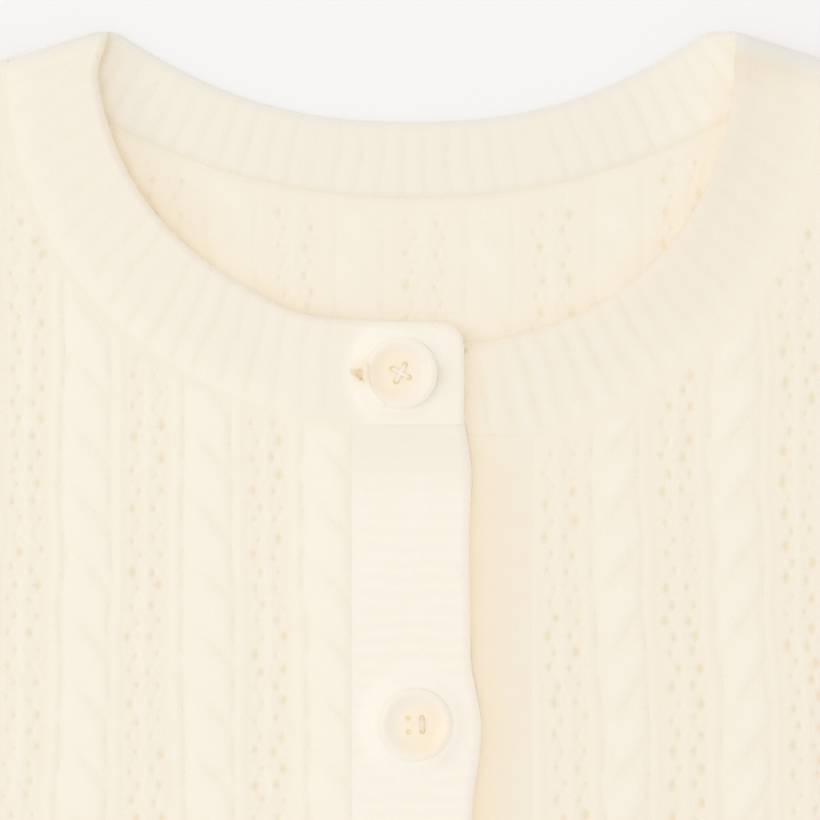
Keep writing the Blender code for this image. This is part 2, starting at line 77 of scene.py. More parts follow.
Line = np.ndarray
Field = Callable[[np.ndarray, np.ndarray], np.ndarray]


def smooth(low: float, high: float, value: Any) -> np.ndarray:
    """Eases from 0 to 1 as a value goes between two edges."""
    share = np.clip((np.asarray(value, float) - low) / (high - low), 0.0, 1.0)
    return share * share * (3 - 2 * share)


@dataclass(frozen=True)
class Fade:
    """An amount that eases from one level to another between two places."""

    start: float
    end: float
    before: float = 0.0
    after: float = 1.0

    def at(self, place: Any) -> np.ndarray:
        """The amount at places that are measured as the start and the end are."""
        return self.before + (self.after - self.before) * smooth(self.start, self.end, place)


def bump(away: np.ndarray, width: float) -> np.ndarray:
    """A soft hump: 1 in its middle, and next to nothing beyond twice its width."""
    return np.exp(-(away / width) ** 2)


def arc_lengths(line: Line) -> np.ndarray:
    """Distance along a line of points, at each of them."""
    steps = np.linalg.norm(np.diff(line, axis=0), axis=1)
    return np.concatenate([[0.0], np.cumsum(steps)])


def sampled(line: Line, shares: np.ndarray) -> Line:
    """Points of a line at shares of its length.

    Args:
        line: Plan points of an open line.
        shares: Places along it, from 0 to 1.

    Returns:
        One plan point for each share.
    """
    lengths = arc_lengths(line)
    at = shares * lengths[-1]
    return np.column_stack([np.interp(at, lengths, line[:, k]) for k in (0, 1)])


def spaced(line: Line, spacing: float) -> Line:
    """Points of a line at about one spacing, both ends included."""
    count = max(1, round(arc_lengths(line)[-1] / spacing))
    return sampled(line, np.linspace(0.0, 1.0, count + 1))


def leftwards(along: Line) -> Line:
    """Unit steps to the left of directions in plan."""
    along = along / np.linalg.norm(along, axis=1)[:, None]
    return np.column_stack([-along[:, 1], along[:, 0]])


def offset(line: Line, distance: float) -> Line:
    """Moves an open line sideways, to the left of its direction for a positive distance."""
    return line + distance * leftwards(np.gradient(line, axis=0))


def inset(rim: Line, distance: float) -> Line:
    """Moves a closed anticlockwise outline inwards."""
    return rim + distance * leftwards(np.roll(rim, -1, axis=0) - np.roll(rim, 1, axis=0))


def mirrored(line: Line) -> Line:
    """The same line on the other side of the middle."""
    return line * (-1.0, 1.0)


def signed_area(rim: Line) -> float:
    """Area of a closed outline, positive where it runs anticlockwise."""
    after = np.roll(rim, -1, axis=0)
    return 0.5 * float(np.sum(rim[:, 0] * after[:, 1] - after[:, 0] * rim[:, 1]))


def closed_rim(lines: list[Line], spacing: float) -> Line:
    """Joins lines end to end into one anticlockwise outline with evenly spaced points."""
    rim = np.vstack([spaced(line, spacing)[:-1] for line in lines])
    return rim if signed_area(rim) > 0 else rim[::-1]


def inside(points: Line, rim: Line) -> np.ndarray:
    """Tells which plan points lie in a closed outline.

    Args:
        points: Plan points to test.
        rim: Outline, its first point not repeated.

    Returns:
        A true or false for each point.
    """
    x, y = points.T
    hits = np.zeros(len(points), bool)
    for (x0, y0), (x1, y1) in zip(rim, np.roll(rim, -1, axis=0)):
        if y0 == y1:
            continue
        crosses = (y0 > y) != (y1 > y)
        hits ^= crosses & (x < x0 + (x1 - x0) * (y - y0) / (y1 - y0))
    return hits


def crested(drop: np.ndarray, crest: float) -> np.ndarray:
    """Softens a peak where a drop below it begins."""
    return crest - np.hypot(drop, crest)


def rounding(distance: np.ndarray, radius: float) -> np.ndarray:
    """Share of its full height that a rounded edge has at a distance from the edge."""
    depth = np.clip(1 - distance / radius, 0.0, 1.0)
    return np.sqrt(1 - depth ** 2)


def tree_of(places: Line) -> kdtree.KDTree:
    """A search tree of plan points.

    Args:
        places: The points, which the tree numbers in their order.

    Returns:
        The tree, ready to search.
    """
    tree = kdtree.KDTree(len(places))
    for i, (x, y) in enumerate(places):
        tree.insert((x, y, 0.0), i)
    tree.balance()
    return tree


class Nearness:
    """Distance of plan points from a line."""

    STEP = 0.15 * MM

    def __init__(self, line: Line, closed: bool = True) -> None:
        """Keeps points along the line, close enough together to stand for it."""
        closing = line[:1] if closed else line[:0]
        self.tree = tree_of(spaced(np.vstack([line, closing]), self.STEP))

    def of(self, points: Line) -> np.ndarray:
        """Distance of each point."""
        return np.array([self.tree.find((x, y, 0.0))[2] for x, y in points])


@dataclass(frozen=True)
class Ripple:
    """Soft, uneven swell of cloth that was laid down by hand: waves in random directions."""

    length: float
    height: float
    seed: int
    waves: int = 9
    stretch: tuple[float, float] = (0.7, 1.6)

    def at(self, x: np.ndarray, y: np.ndarray) -> np.ndarray:
        """Adds up the waves.

        Args:
            x: Distance to the wearer's left.
            y: Height on the cutting sheet.

        Returns:
            Height of the swell over those places.
        """
        draw = np.random.default_rng(self.seed)
        total = np.zeros(np.shape(x))
        for _ in range(self.waves):
            turn, start = draw.uniform(0, 2 * math.pi, 2)
            pace = 2 * math.pi / (self.length * draw.uniform(*self.stretch))
            total += np.sin(pace * (x * math.cos(turn) + y * math.sin(turn)) + start)
        return self.height * total / math.sqrt(self.waves)


class Side(Enum):
    """The wearer's sides, and the sign of X on each."""

    RIGHT = -1
    LEFT = 1

    @property
    def word(self) -> str:
        """The side as node names give it."""
        return self.name.lower()

    def placed(self, line: Line) -> Line:
        """A line drawn on +X, on this side."""
        return line * (float(self.value), 1.0)


class Layer(Enum):
    """The two layers of the vest as it lies."""

    FRONT = "front"
    BACK = "back"


@dataclass(frozen=True)
class Cut:
    """The vest's cutting sheet: its outlines in plan, down from the shoulder's neck point."""

    length: float = 325 * MM
    hem: float = 35 * MM
    hem_draw: float = 0.985
    chest_half: float = 140 * MM
    hem_half: float = 149 * MM
    shoulder_half: float = 103 * MM
    shoulder_slope: float = math.radians(19.5)
    shoulder_crest: float = 0.8 * MM
    armhole_depth: float = 135 * MM
    armhole_waist_depth: float = 76 * MM
    armhole_waist_front: float = 94 * MM
    armhole_waist_back: float = 98 * MM
    armhole_power: float = 2.4
    armhole_spacing: float = 1 * MM
    armband: float = 13 * MM
    neck_half: float = 66 * MM
    neck_seam_half: float = 84 * MM
    neck_power: float = 2.15
    neck_power_left: float = 2.3
    neck_tuck: Fade = Fade(-10 * MM, 0.0, 0.0, 2.6 * MM)
    neck_sag: tuple[float, float, float] = (24 * MM, 9 * MM, 1.2 * MM)
    neck_drop_right: float = 60 * MM
    neck_drop_left: float = 64.5 * MM
    neckband: float = 21.5 * MM
    back_half: float = 63.2 * MM
    back_drop: float = 20.2 * MM
    back_power: float = 2.33
    back_shift: float = -0.7 * MM
    back_crest: float = 1.6 * MM
    back_seam: float = 34.4 * MM
    top_band: tuple[float, float] = (-12.7 * MM, 11.4 * MM)
    under_band: tuple[float, float] = (-6.2 * MM, 23.8 * MM)
    tab_corner: float = 5 * MM
    first_button: float = 70.6 * MM
    button_spacing: float = 72.2 * MM
    button_count: int = 4
    first_button_x: float = -2.85 * MM
    button_x: float = 0.1 * MM
    band_sway: tuple[tuple[float, float], ...] = (
        (60 * MM, -1.2 * MM),
        (75 * MM, -1.6 * MM),
        (92 * MM, 0.3 * MM),
        (104 * MM, -0.2 * MM),
        (128 * MM, 0.1 * MM),
        (144 * MM, 2.3 * MM),
        (163 * MM, 0.3 * MM),
        (200 * MM, -0.2 * MM),
        (218 * MM, 1.4 * MM),
        (250 * MM, -0.3 * MM),
        (290 * MM, 1.2 * MM),
        (325 * MM, 0.2 * MM),
    )
    curve_points: int = 241
    neck_points: int = 301
    armhole_points: int = 401
    shoulder_points: int = 30

    def shoulder_y(self, x: Any) -> np.ndarray:
        """Height of the shoulder line at a distance from the middle."""
        beyond = np.maximum(0.0, np.abs(x) - self.neck_half)
        return crested(beyond * math.tan(self.shoulder_slope), self.shoulder_crest)

    def quarter(self, half: float, drop: float, start: float, power: float) -> Line:
        """Draws a quarter of a rounded square, from the shoulder at +X down to the middle.

        Args:
            half: Half its width.
            drop: Its depth.
            start: Height where it starts.
            power: How square it is; 2 is an ellipse.

        Returns:
            Plan points along it.
        """
        angle = np.linspace(0.0, math.pi / 2, self.curve_points)
        across = np.maximum(0.0, np.cos(angle)) ** (2 / power)
        down = np.maximum(0.0, np.sin(angle)) ** (2 / power)
        return np.column_stack([half * across, start - drop * down])

    def neck_drop(self, side: Side) -> float:
        """Depth of the front neck's free edge at the middle."""
        return self.neck_drop_right if side is Side.RIGHT else self.neck_drop_left

    def neck_free(self, side: Side) -> Line:
        """Draws the free edge of a front neckband on +X.

        Args:
            side: The front it belongs to. The right one tucks in at the shoulder and sags.

        Returns:
            Plan points from the shoulder to the middle.
        """
        power = self.neck_power if side is Side.RIGHT else self.neck_power_left
        free = self.quarter(self.neck_half, self.neck_drop(side), 0.0, power)
        if side is Side.RIGHT:
            middle, reach, depth = self.neck_sag
            free[:, 0] -= self.neck_tuck.at(free[:, 1])
            free[:, 1] -= depth * bump(free[:, 0] - middle, reach)
        return free

    def neck_seam(self, side: Side) -> Line:
        """Draws the seam of a front neckband on +X.

        Args:
            side: The front it belongs to.

        Returns:
            Plan points from the shoulder to the middle.
        """
        start = float(self.shoulder_y(self.neck_seam_half))
        drop = self.neck_drop(side) + self.neckband + start
        return self.quarter(self.neck_seam_half, drop, start, self.neck_power)

    def front_edge(self, side: Side) -> float:
        """Distance from the middle of a front's own edge, where its button band begins."""
        return -self.top_band[0] if side is Side.RIGHT else self.under_band[1]

    def seam_foot(self, side: Side) -> float:
        """Height of the neckband's seam where it meets the button band."""
        seam = self.neck_seam(side)
        return float(np.interp(self.front_edge(side), seam[::-1, 0], seam[::-1, 1]))

    def back_neck_free(self) -> Line:
        """Draws the free edge of the back neck.

        Returns:
            Plan points from +X to -X.
        """
        x = np.linspace(self.neck_half, -self.neck_half, self.neck_points)
        share = np.abs(x - self.back_shift) / (self.back_half - abs(self.back_shift))
        dip = self.back_drop * np.maximum(0.0, 1 - share ** self.back_power)
        return np.column_stack([x, crested(dip, self.back_crest)])

    def back_neck_seam(self) -> Line:
        """Draws the seam of the back neckband.

        Returns:
            Plan points from +X to -X.
        """
        x = np.linspace(self.neck_seam_half, -self.neck_seam_half, self.neck_points)
        rise = self.back_seam + float(self.shoulder_y(self.neck_seam_half))
        share = np.abs(x) / self.neck_seam_half
        return np.column_stack([x, -self.back_seam + rise * share ** self.neck_power])

    def armhole_seam(self, layer: Layer) -> Line:
        """Draws an armhole's seam on +X.

        Args:
            layer: The layer, because the back is wider between its armholes.

        Returns:
            Plan points from the shoulder's tip down to the underarm.
        """
        waist = self.armhole_waist_front if layer is Layer.FRONT else self.armhole_waist_back
        tip = float(self.shoulder_y(self.shoulder_half))
        y = np.linspace(tip, -self.armhole_depth, self.armhole_points)
        above = smooth(-self.armhole_waist_depth, tip, y)
        reach = self.armhole_depth - self.armhole_waist_depth
        below = np.maximum(0.0, (-self.armhole_waist_depth - y) / reach)
        scoop = 1 - np.sqrt(np.maximum(0.0, 1 - below ** self.armhole_power))
        x = waist + (self.shoulder_half - waist) * above + (self.chest_half - waist) * scoop
        return spaced(np.column_stack([x, y]), self.armhole_spacing)

    def shoulder_line(self) -> Line:
        """Shoulder from the armhole to the neckband, drawn on +X."""
        x = np.linspace(self.shoulder_half, self.neck_seam_half, self.shoulder_points)
        return np.column_stack([x, self.shoulder_y(x)])

    def sway(self, y: Any) -> np.ndarray:
        """Tells how far the top band's free edge sways out.

        Args:
            y: Heights on the cutting sheet.

        Returns:
            The sway towards +X at each.
        """
        depth = -np.asarray(y, float)
        out = np.full(depth.shape, self.band_sway[0][1])
        for (d0, s0), (d1, s1) in zip(self.band_sway, self.band_sway[1:]):
            out = np.where(depth > d0, Fade(d0, d1, s0, s1).at(depth), out)
        return out

    def buttons(self) -> list[tuple[float, float]]:
        """Middles of the buttons, from the top down."""
        across = [self.first_button_x] + [self.button_x] * (self.button_count - 1)
        return [(x, -self.first_button - self.button_spacing * i) for i, x in enumerate(across)]

    def front_rim(self, side: Side, spacing: float) -> Line:
        """Draws the outline of a front.

        Args:
            side: The front.
            spacing: Distance between the outline's points.

        Returns:
            Plan points, anticlockwise.
        """
        seam = self.neck_seam(side)
        middle = self.front_edge(side)
        foot = (middle, self.seam_foot(side))
        hem = self.hem - self.length
        lines = [
            np.vstack([seam[seam[:, 0] > middle], foot]),
            np.array([foot, (middle, hem)]),
            np.array([(middle, hem), (self.hem_half, hem)]),
            np.array([(self.hem_half, hem), (self.chest_half, -self.armhole_depth)]),
            self.armhole_seam(Layer.FRONT)[::-1],
            self.shoulder_line(),
        ]
        return closed_rim([side.placed(line) for line in lines], spacing)

    def back_rim(self, spacing: float) -> Line:
        """Draws the outline of the back.

        Args:
            spacing: Distance between the outline's points.

        Returns:
            Plan points, anticlockwise.
        """
        hem = self.hem - self.length
        side = np.array([(self.hem_half, hem), (self.chest_half, -self.armhole_depth)])
        right = [side, self.armhole_seam(Layer.BACK)[::-1], self.shoulder_line()]
        left = [mirrored(line)[::-1] for line in reversed(right)]
        foot = np.array([(-self.hem_half, hem), (self.hem_half, hem)])
        return closed_rim([*right, self.back_neck_seam(), *left, foot], spacing)


@dataclass(frozen=True)
class Layers:
    """Heights of the layers of cloth over the surface that the vest lies on."""

    gap: float = 0.3 * MM
    back_cloth: float = 1.7 * MM
    back_layer: float = 2.2 * MM
    cloth: float = 1.9 * MM
    top_cloth: float = 2.1 * MM
    climb_from: float = -32 * MM
    climb_to: float = -13 * MM

    @property
    def front_under(self) -> float:
        """Underside of the fronts."""
        return self.back_layer + self.gap

    @property
    def top_under(self) -> float:
        """Underside of the top band, which lies on the under band."""
        return self.front_under + self.cloth + self.gap

    def under_front(self, side: Side) -> Field:
        """Underside of a front: the right one climbs to the top band near the middle."""
        high = self.top_under if side is Side.RIGHT else self.front_under
        return lambda x, y: Fade(self.climb_from, self.climb_to, self.front_under, high).at(x)


def level(height: float) -> Field:
    """A level surface."""
    return lambda x, y: np.full(np.shape(x), height)


def raised(base: Field, by: float) -> Field:
    """A surface a step above another."""
    return lambda x, y: base(x, y) + by


@dataclass(frozen=True)
class RopeCable:
    """A cable of fat lobes, each of which dives under the next one down."""

    period: float = 13.25 * MM
    half: float = 4.9 * MM
    reach: float = 5.3 * MM
    crown: float = 0.66 * MM
    valley: Fade = Fade(-3.5 * MM, 1.5 * MM, 0.19, 0.95)
    crest: float = 0.34
    twist: float = 1.35
    widest_at: float = 0.33
    pulse: float = 0.45 * MM
    rise_power: float = 0.9
    fall_power: float = 2.0
    steepest: float = 0.98

    def height(self, u: np.ndarray, turns: np.ndarray, hand: int) -> np.ndarray:
        """Height of the cable.

        Args:
            u: Distance from the cable's middle.
            turns: Distance down the cable, in lobes.
            hand: 1 where the lobes run down towards +X, or -1.

        Returns:
            Height over the plain cloth.
        """
        slant = np.arcsin(np.clip(u / self.reach, -self.steepest, self.steepest)) / math.pi
        place = (turns - self.twist * hand * slant) % 1.0
        place = place if hand > 0 else 1 - place
        climb = np.sin(0.5 * math.pi * np.clip(place / self.crest, 0.0, 1.0)) ** self.rise_power
        past = np.clip((place - self.crest) / (1 - self.crest), 0.0, 1.0)
        lobe = np.where(place < self.crest, climb, 1 - past ** self.fall_power)
        half = self.half + self.pulse * np.cos(2 * math.pi * (turns - self.widest_at))
        dome = np.sqrt(np.clip(1 - (u / half) ** 2, 0.0, 1.0))
        return self.crown * dome * (1 - self.valley.at(u) * (1 - lobe))


@dataclass(frozen=True)
class Openwork:
    """Two zigzag rows of eyelets, side by side, with a knit column between them."""

    half: float = 4.1 * MM
    edge: float = 0.8 * MM
    column: float = 2.2 * MM
    swing: float = 0.7 * MM
    row: float = 3.385 * MM
    eyelet: tuple[float, float] = (0.47 * MM, 0.76 * MM)
    depth: float = 0.28 * MM
    middle_ridge: tuple[float, float] = (0.25 * MM, 0.7 * MM)
    ridge: tuple[float, float] = (0.12 * MM, 0.45 * MM)
    ridge_at: float = 1.2 * MM
    hollow: tuple[float, float] = (0.12 * MM, 0.5 * MM)

    def height(self, w: np.ndarray, rows: np.ndarray) -> np.ndarray:
        """Low ridges of yarn that wind between the eyelets.

        Args:
            w: Distance from the openwork's middle.
            rows: Distance down the panel, in rows of eyelets.

        Returns:
            Height over the plain cloth.
        """
        zigzag = -self.swing * np.cos(math.pi * rows)
        total = self.middle_ridge[0] * bump(w, self.middle_ridge[1])
        for column in (-self.column, self.column):
            away = w - column - zigzag
            for beside in (-self.ridge_at, self.ridge_at):
                total += self.ridge[0] * bump(away - beside, self.ridge[1])
            total -= self.hollow[0] * bump(away, self.hollow[1])
        return total * smooth(self.half, self.half - self.edge, np.abs(w))


@dataclass(frozen=True)
class CableField:
    """The repeat across a panel: rope cables, single ribs and openwork."""

    first: float
    pitch: float
    lean: float
    spread: float
    hand: int
    cable_starts: tuple[float, ...]
    eyelet_starts: tuple[float, ...]
    eyelet_shift: float = 0.0
    strength: float = 1.0
    leaning_down: Fade = Fade(-90 * MM, -160 * MM)
    cable_half: float = 5 * MM
    rib_at: float = 6.4 * MM
    rib_half: float = 1.25 * MM
    rib_height: float = 0.26 * MM
    rib_power: float = 0.7
    groove: float = 0.1 * MM
    groove_width: float = 0.55 * MM
    cable: RopeCable = RopeCable()
    openwork: Openwork = Openwork()
    wander: Ripple = Ripple(24 * MM, 0.38 * MM, 21)
    repeats: int = 8
    outer_size: float = 1.05
    inner_size: float = 0.8
    size_draw: tuple[float, float] = (0.55, 1.45)
    size_limits: tuple[float, float] = (0.45, 1.4)
    stray: tuple[float, float] = (0.2 * MM, 0.28 * MM)

    def leaning(self, x: np.ndarray, y: np.ndarray) -> np.ndarray:
        """How far the columns have leaned sideways at a place."""
        lean = (self.lean + self.spread * (x - self.first)) * self.leaning_down.at(y)
        return lean + self.wander.at(x, y)

    def height(self, x: np.ndarray, y: np.ndarray) -> np.ndarray:
        """Height of the knit.

        Args:
            x: Distance to the wearer's left.
            y: Height on the cutting sheet.

        Returns:
            Height over the plain cloth at those places.
        """
        along = x - self.leaning(x, y) - self.first
        number = np.round(along / self.pitch)
        u = along - self.pitch * number
        starts = np.array(self.cable_starts)[number.astype(int) % len(self.cable_starts)]
        rope = self.cable.height(u, -y / self.cable.period - starts, self.hand)
        rope -= self.groove * bump(np.abs(u) - self.cable_half, self.groove_width)
        away = (np.abs(u) - self.rib_at) / self.rib_half
        rib = self.rib_height * np.clip(1 - away ** 2, 0.0, 1.0) ** self.rib_power
        gap = np.floor((along - self.eyelet_shift) / self.pitch)
        w = along - self.eyelet_shift - self.pitch * (gap + 0.5)
        starts = np.array(self.eyelet_starts)[gap.astype(int) % len(self.eyelet_starts)]
        lace = self.openwork.height(w, -y / self.openwork.row - 2 * starts)
        return self.strength * (rope + rib) + lace

    def eyelets(self, low: float, high: float, deep: float) -> tuple[Line, np.ndarray]:
        """Middles and sizes of the eyelets in a stretch of the panel.

        Args:
            low: Least X.
            high: Greatest X.
            deep: How far down the panel they go.

        Returns:
            Plan points, and a size for each as a share of the full one.
        """
        draw = np.random.default_rng(round(1e5 * abs(self.first)))
        spots = []
        sizes = []
        for k in range(-self.repeats, self.repeats + 1):
            start = self.eyelet_starts[k % len(self.eyelet_starts)]
            middle = self.first + self.eyelet_shift + self.pitch * (k + 0.5)
            for side in (-1, 1):
                for n in range(int(deep / self.openwork.row)):
                    y = -(n + 2 * start) * self.openwork.row
                    sway = 1 if n % 2 else -1
                    x = middle + side * self.openwork.column + sway * self.openwork.swing
                    x += float(self.leaning(np.array(x), np.array(y)))
                    x += draw.normal(0, self.stray[0])
                    size = self.outer_size if side == sway else self.inner_size
                    size *= draw.uniform(*self.size_draw)
                    if low < x < high:
                        spots.append((x, y + draw.normal(0, self.stray[1])))
                        sizes.append(min(max(self.size_limits[0], size), self.size_limits[1]))
        return np.array(spots), np.array(sizes)


def linear(code: str) -> tuple[float, float, float, float]:
    """Turns an sRGB hex colour such as "#f7f1e3" to linear RGBA.

    Args:
        code: The colour, with two hex digits for each of red, green and blue.

    Returns:
        Its linear red, green, blue and full alpha.
    """
    parts = [int(code[i:i + 2], 16) / 255 for i in (1, 3, 5)]
    light = [c / 12.92 if c <= 0.04045 else ((c + 0.055) / 1.055) ** 2.4 for c in parts]
    return (*light, 1.0)


def add_node(tree: bpy.types.NodeTree, kind: str, inputs: dict[Any, Any] | None = None,
             **settings: Any) -> bpy.types.Node:
    """Adds a node to a material.

    Args:
        tree: The material's node tree.
        kind: The node's type.
        inputs: Values or other nodes' outputs, by the socket's name or number.
        settings: Properties of the node itself.

    Returns:
        The new node.
    """
    node = tree.nodes.new(kind)
    for name, value in settings.items():
        setattr(node, name, value)
    for name, value in (inputs or {}).items():
        if isinstance(value, bpy.types.NodeSocket):
            tree.links.new(value, node.inputs[name])
        else:
            node.inputs[name].default_value = value
    return node


def blank_material(name: str) -> tuple[bpy.types.Material, bpy.types.NodeTree, bpy.types.Node]:
    """Makes a new material.

    Args:
        name: The finish it is named for.

    Returns:
        The material, its tree and its shader.
    """
    material = bpy.data.materials.new(name)
    material.use_nodes = True
    tree = material.node_tree
    return material, tree, tree.nodes["Principled BSDF"]


@dataclass(frozen=True)
class KnitYarn:
    """Two-ply cotton and wool yarn, machine knitted and washed: matt, with a faint nap.

    Light that has passed between two layers of it comes out warm; a bare edge looks cooler. The
    hollow, glow and edge colours paint that on: painted shade, painted warm bounce light and cooler
    painted edge shade.
    """

    name: str = "washed_cotton_wool_knit"
    crest: str = "#f9f3e7"
    # Painted colours: hollow is painted shade, glow is painted warm bounce light, and the last is
    # cooler painted shade at bare edges.
    hollow: str = "#ebdcc0"
    glow: str = "#fae6c3"
    cool: str = "#e7e4de"
    roughness: float = 0.95
    sheen: float = 0.1
    stitch: tuple[float, float] = (2.15 * MM, 1.7 * MM)
    stitch_slant: float = 1.5
    stitch_split: float = -0.6
    stitch_strength: float = 0.5
    stitch_relief: float = 0.03 * MM
    fibre: float = 0.5 * MM
    fibre_detail: float = 3.0
    fibre_roughness: float = 0.6
    fibre_relief: float = 0.03 * MM
    mottle: float = 4 * MM
    mottle_detail: float = 4.0
    mottle_share: float = 0.16

    def stitches(self, tree: bpy.types.NodeTree) -> bpy.types.NodeSocket:
        """Draws the V of each stitch, laid out by a piece's own UV map.

        Args:
            tree: The material's node tree.

        Returns:
            Height of the stitches, from their two slanting legs and the split between them.
        """
        uv = add_node(tree, "ShaderNodeUVMap", uv_map="stitches")
        grid = add_node(tree, "ShaderNodeMapping", {
            "Vector": uv.outputs["UV"],
            "Scale": (1 / self.stitch[0], 1 / self.stitch[1], 1.0),
        })
        place = add_node(tree, "ShaderNodeSeparateXYZ", {0: grid.outputs[0]})
        column = add_node(tree, "ShaderNodeMath", {0: place.outputs["X"]}, operation="FRACT")
        middle = add_node(tree, "ShaderNodeMath", {0: column.outputs[0], 1: 0.5},
                          operation="SUBTRACT")
        away = add_node(tree, "ShaderNodeMath", {0: middle.outputs[0]}, operation="ABSOLUTE")
        climb = add_node(tree, "ShaderNodeMath", {
            0: away.outputs[0], 1: self.stitch_slant, 2: place.outputs["Y"],
        }, operation="MULTIPLY_ADD")
        phase = add_node(tree, "ShaderNodeMath", {0: climb.outputs[0], 1: 2 * math.pi},
                         operation="MULTIPLY")
        legs = add_node(tree, "ShaderNodeMath", {0: phase.outputs[0]}, operation="SINE")
        across = add_node(tree, "ShaderNodeMath", {0: away.outputs[0], 1: 4 * math.pi},
                          operation="MULTIPLY")
        split = add_node(tree, "ShaderNodeMath", {0: across.outputs[0]}, operation="COSINE")
        stitch = add_node(tree, "ShaderNodeMath", {
            0: split.outputs[0], 1: self.stitch_split, 2: legs.outputs[0],
        }, operation="MULTIPLY_ADD")
        return stitch.outputs[0]

    def colour(self, tree: bpy.types.NodeTree, place: bpy.types.NodeSocket) -> bpy.types.NodeSocket:
        """Mixes the yarn's colour with painted shade by how deep each place lies, and with painted
        warm light or cooler painted edge shade.

        Args:
            tree: The material's node tree.
            place: Object coordinates, for the faint mottle of the dye.

        Returns:
            The colour.
        """
        # The hollow attribute carries painted shade; the bounce attribute carries painted warm light
        # above 0 and cooler painted edge shade below 0.
        hollow = add_node(tree, "ShaderNodeAttribute", attribute_name="hollow")
        bounce = add_node(tree, "ShaderNodeAttribute", attribute_name="bounce")
        mottle = add_node(tree, "ShaderNodeTexNoise", {
            "Vector": place, "Scale": 1 / self.mottle, "Detail": self.mottle_detail,
        })
        warm = add_node(tree, "ShaderNodeMath", {
            0: mottle.outputs[0], 1: self.mottle_share, 2: hollow.outputs["Fac"],
        }, operation="MULTIPLY_ADD", use_clamp=True)
        tone = add_node(tree, "ShaderNodeMix", {
            "Factor": warm.outputs[0], 6: linear(self.crest), 7: linear(self.hollow),
        }, data_type="RGBA")
        glowing = add_node(tree, "ShaderNodeMix", {
            "Factor": bounce.outputs["Fac"], 6: tone.outputs[2], 7: linear(self.glow),
        }, data_type="RGBA")
        # Below 0 the bounce attribute mixes in cooler painted edge shade.
        back = add_node(tree, "ShaderNodeMath", {0: bounce.outputs["Fac"], 1: -1.0},
                        operation="MULTIPLY")
        cooled = add_node(tree, "ShaderNodeMix", {
            "Factor": back.outputs[0], 6: glowing.outputs[2], 7: linear(self.cool),
        }, data_type="RGBA")
        return cooled.outputs[2]

    def material(self) -> bpy.types.Material:
        """Builds the yarn's material.

        Returns:
            The material, with the stitches and the nap as its relief.
        """
        material, tree, shader = blank_material(self.name)
        place = add_node(tree, "ShaderNodeTexCoord").outputs["Object"]
        fibres = add_node(tree, "ShaderNodeTexNoise", {
            "Vector": place, "Scale": 1 / self.fibre, "Detail": self.fibre_detail,
            "Roughness": self.fibre_roughness,
        })
        knitted = add_node(tree, "ShaderNodeBump", {
            "Height": self.stitches(tree), "Strength": self.stitch_strength,
            "Distance": self.stitch_relief,
        })
        napped = add_node(tree, "ShaderNodeBump", {
            "Height": fibres.outputs[0], "Strength": 1.0, "Distance": self.fibre_relief,
            "Normal": knitted.outputs[0],
        })
        tree.links.new(self.colour(tree, place), shader.inputs["Base Color"])
        tree.links.new(napped.outputs[0], shader.inputs["Normal"])
        shader.inputs["Roughness"].default_value = self.roughness
        shader.inputs["Sheen Weight"].default_value = self.sheen
        return material


@dataclass(frozen=True)
class ButtonResin:
    """Cast polyester resin, turned and tumble-polished: warm cream with a soft gloss."""

    name: str = "polished_polyester_resin"
    rim: str = "#f6ede0"
    # The dish and hole colours are painted shade: darker and warmer deeper in the dish and on the
    # floors of the holes.
    dish: str = "#f9ecd6"
    hole: str = "#f5e3b4"
    roughness: float = 0.25
    ior: float = 1.54
    vein: float = 3 * MM
    vein_detail: float = 3.0
    vein_share: float = 0.12

    def material(self) -> bpy.types.Material:
        """Builds the resin's material.

        Returns:
            The material, with painted shade that grows darker and warmer the deeper in the dish each
            place lies.
        """
        material, tree, shader = blank_material(self.name)
        veins = add_node(tree, "ShaderNodeTexNoise", {
            "Vector": add_node(tree, "ShaderNodeTexCoord").outputs["Object"],
            "Scale": 1 / self.vein, "Detail": self.vein_detail,
        })
        dish = add_node(tree, "ShaderNodeAttribute", attribute_name="dish")
        depth = add_node(tree, "ShaderNodeMath", {
            0: veins.outputs[0], 1: self.vein_share, 2: dish.outputs["Fac"],
        }, operation="MULTIPLY_ADD", use_clamp=True)
        tone = add_node(tree, "ShaderNodeValToRGB", {"Fac": depth.outputs[0]})
        stops = tone.color_ramp.elements
        stops[0].color = linear(self.rim)
        stops[1].color = linear(self.hole)
        stops.new(0.5).color = linear(self.dish)
        tree.links.new(tone.outputs["Color"], shader.inputs["Base Color"])
        shader.inputs["Roughness"].default_value = self.roughness
        shader.inputs["IOR"].default_value = self.ior
        return material


@dataclass(frozen=True)
class LightTable:
    """Frosted opal acrylic of a light table, lit from below, so that edges cast almost no shadow."""

    name: str = "frosted_opal_acrylic"
    tone: str = "#b3b2b1"
    glow: str = "#f7f5f4"
    glow_strength: float = 0.5
    roughness: float = 0.95
    specular: float = 0.1

    def material(self) -> bpy.types.Material:
        """Builds the acrylic's material.

        Returns:
            The material, which glows evenly.
        """
        material, _, shader = blank_material(self.name)
        for socket, value in (
            ("Base Color", linear(self.tone)),
            ("Roughness", self.roughness),
            ("Specular IOR Level", self.specular),
            ("Emission Color", linear(self.glow)),
            ("Emission Strength", self.glow_strength),
        ):
            shader.inputs[socket].default_value = value
        return material


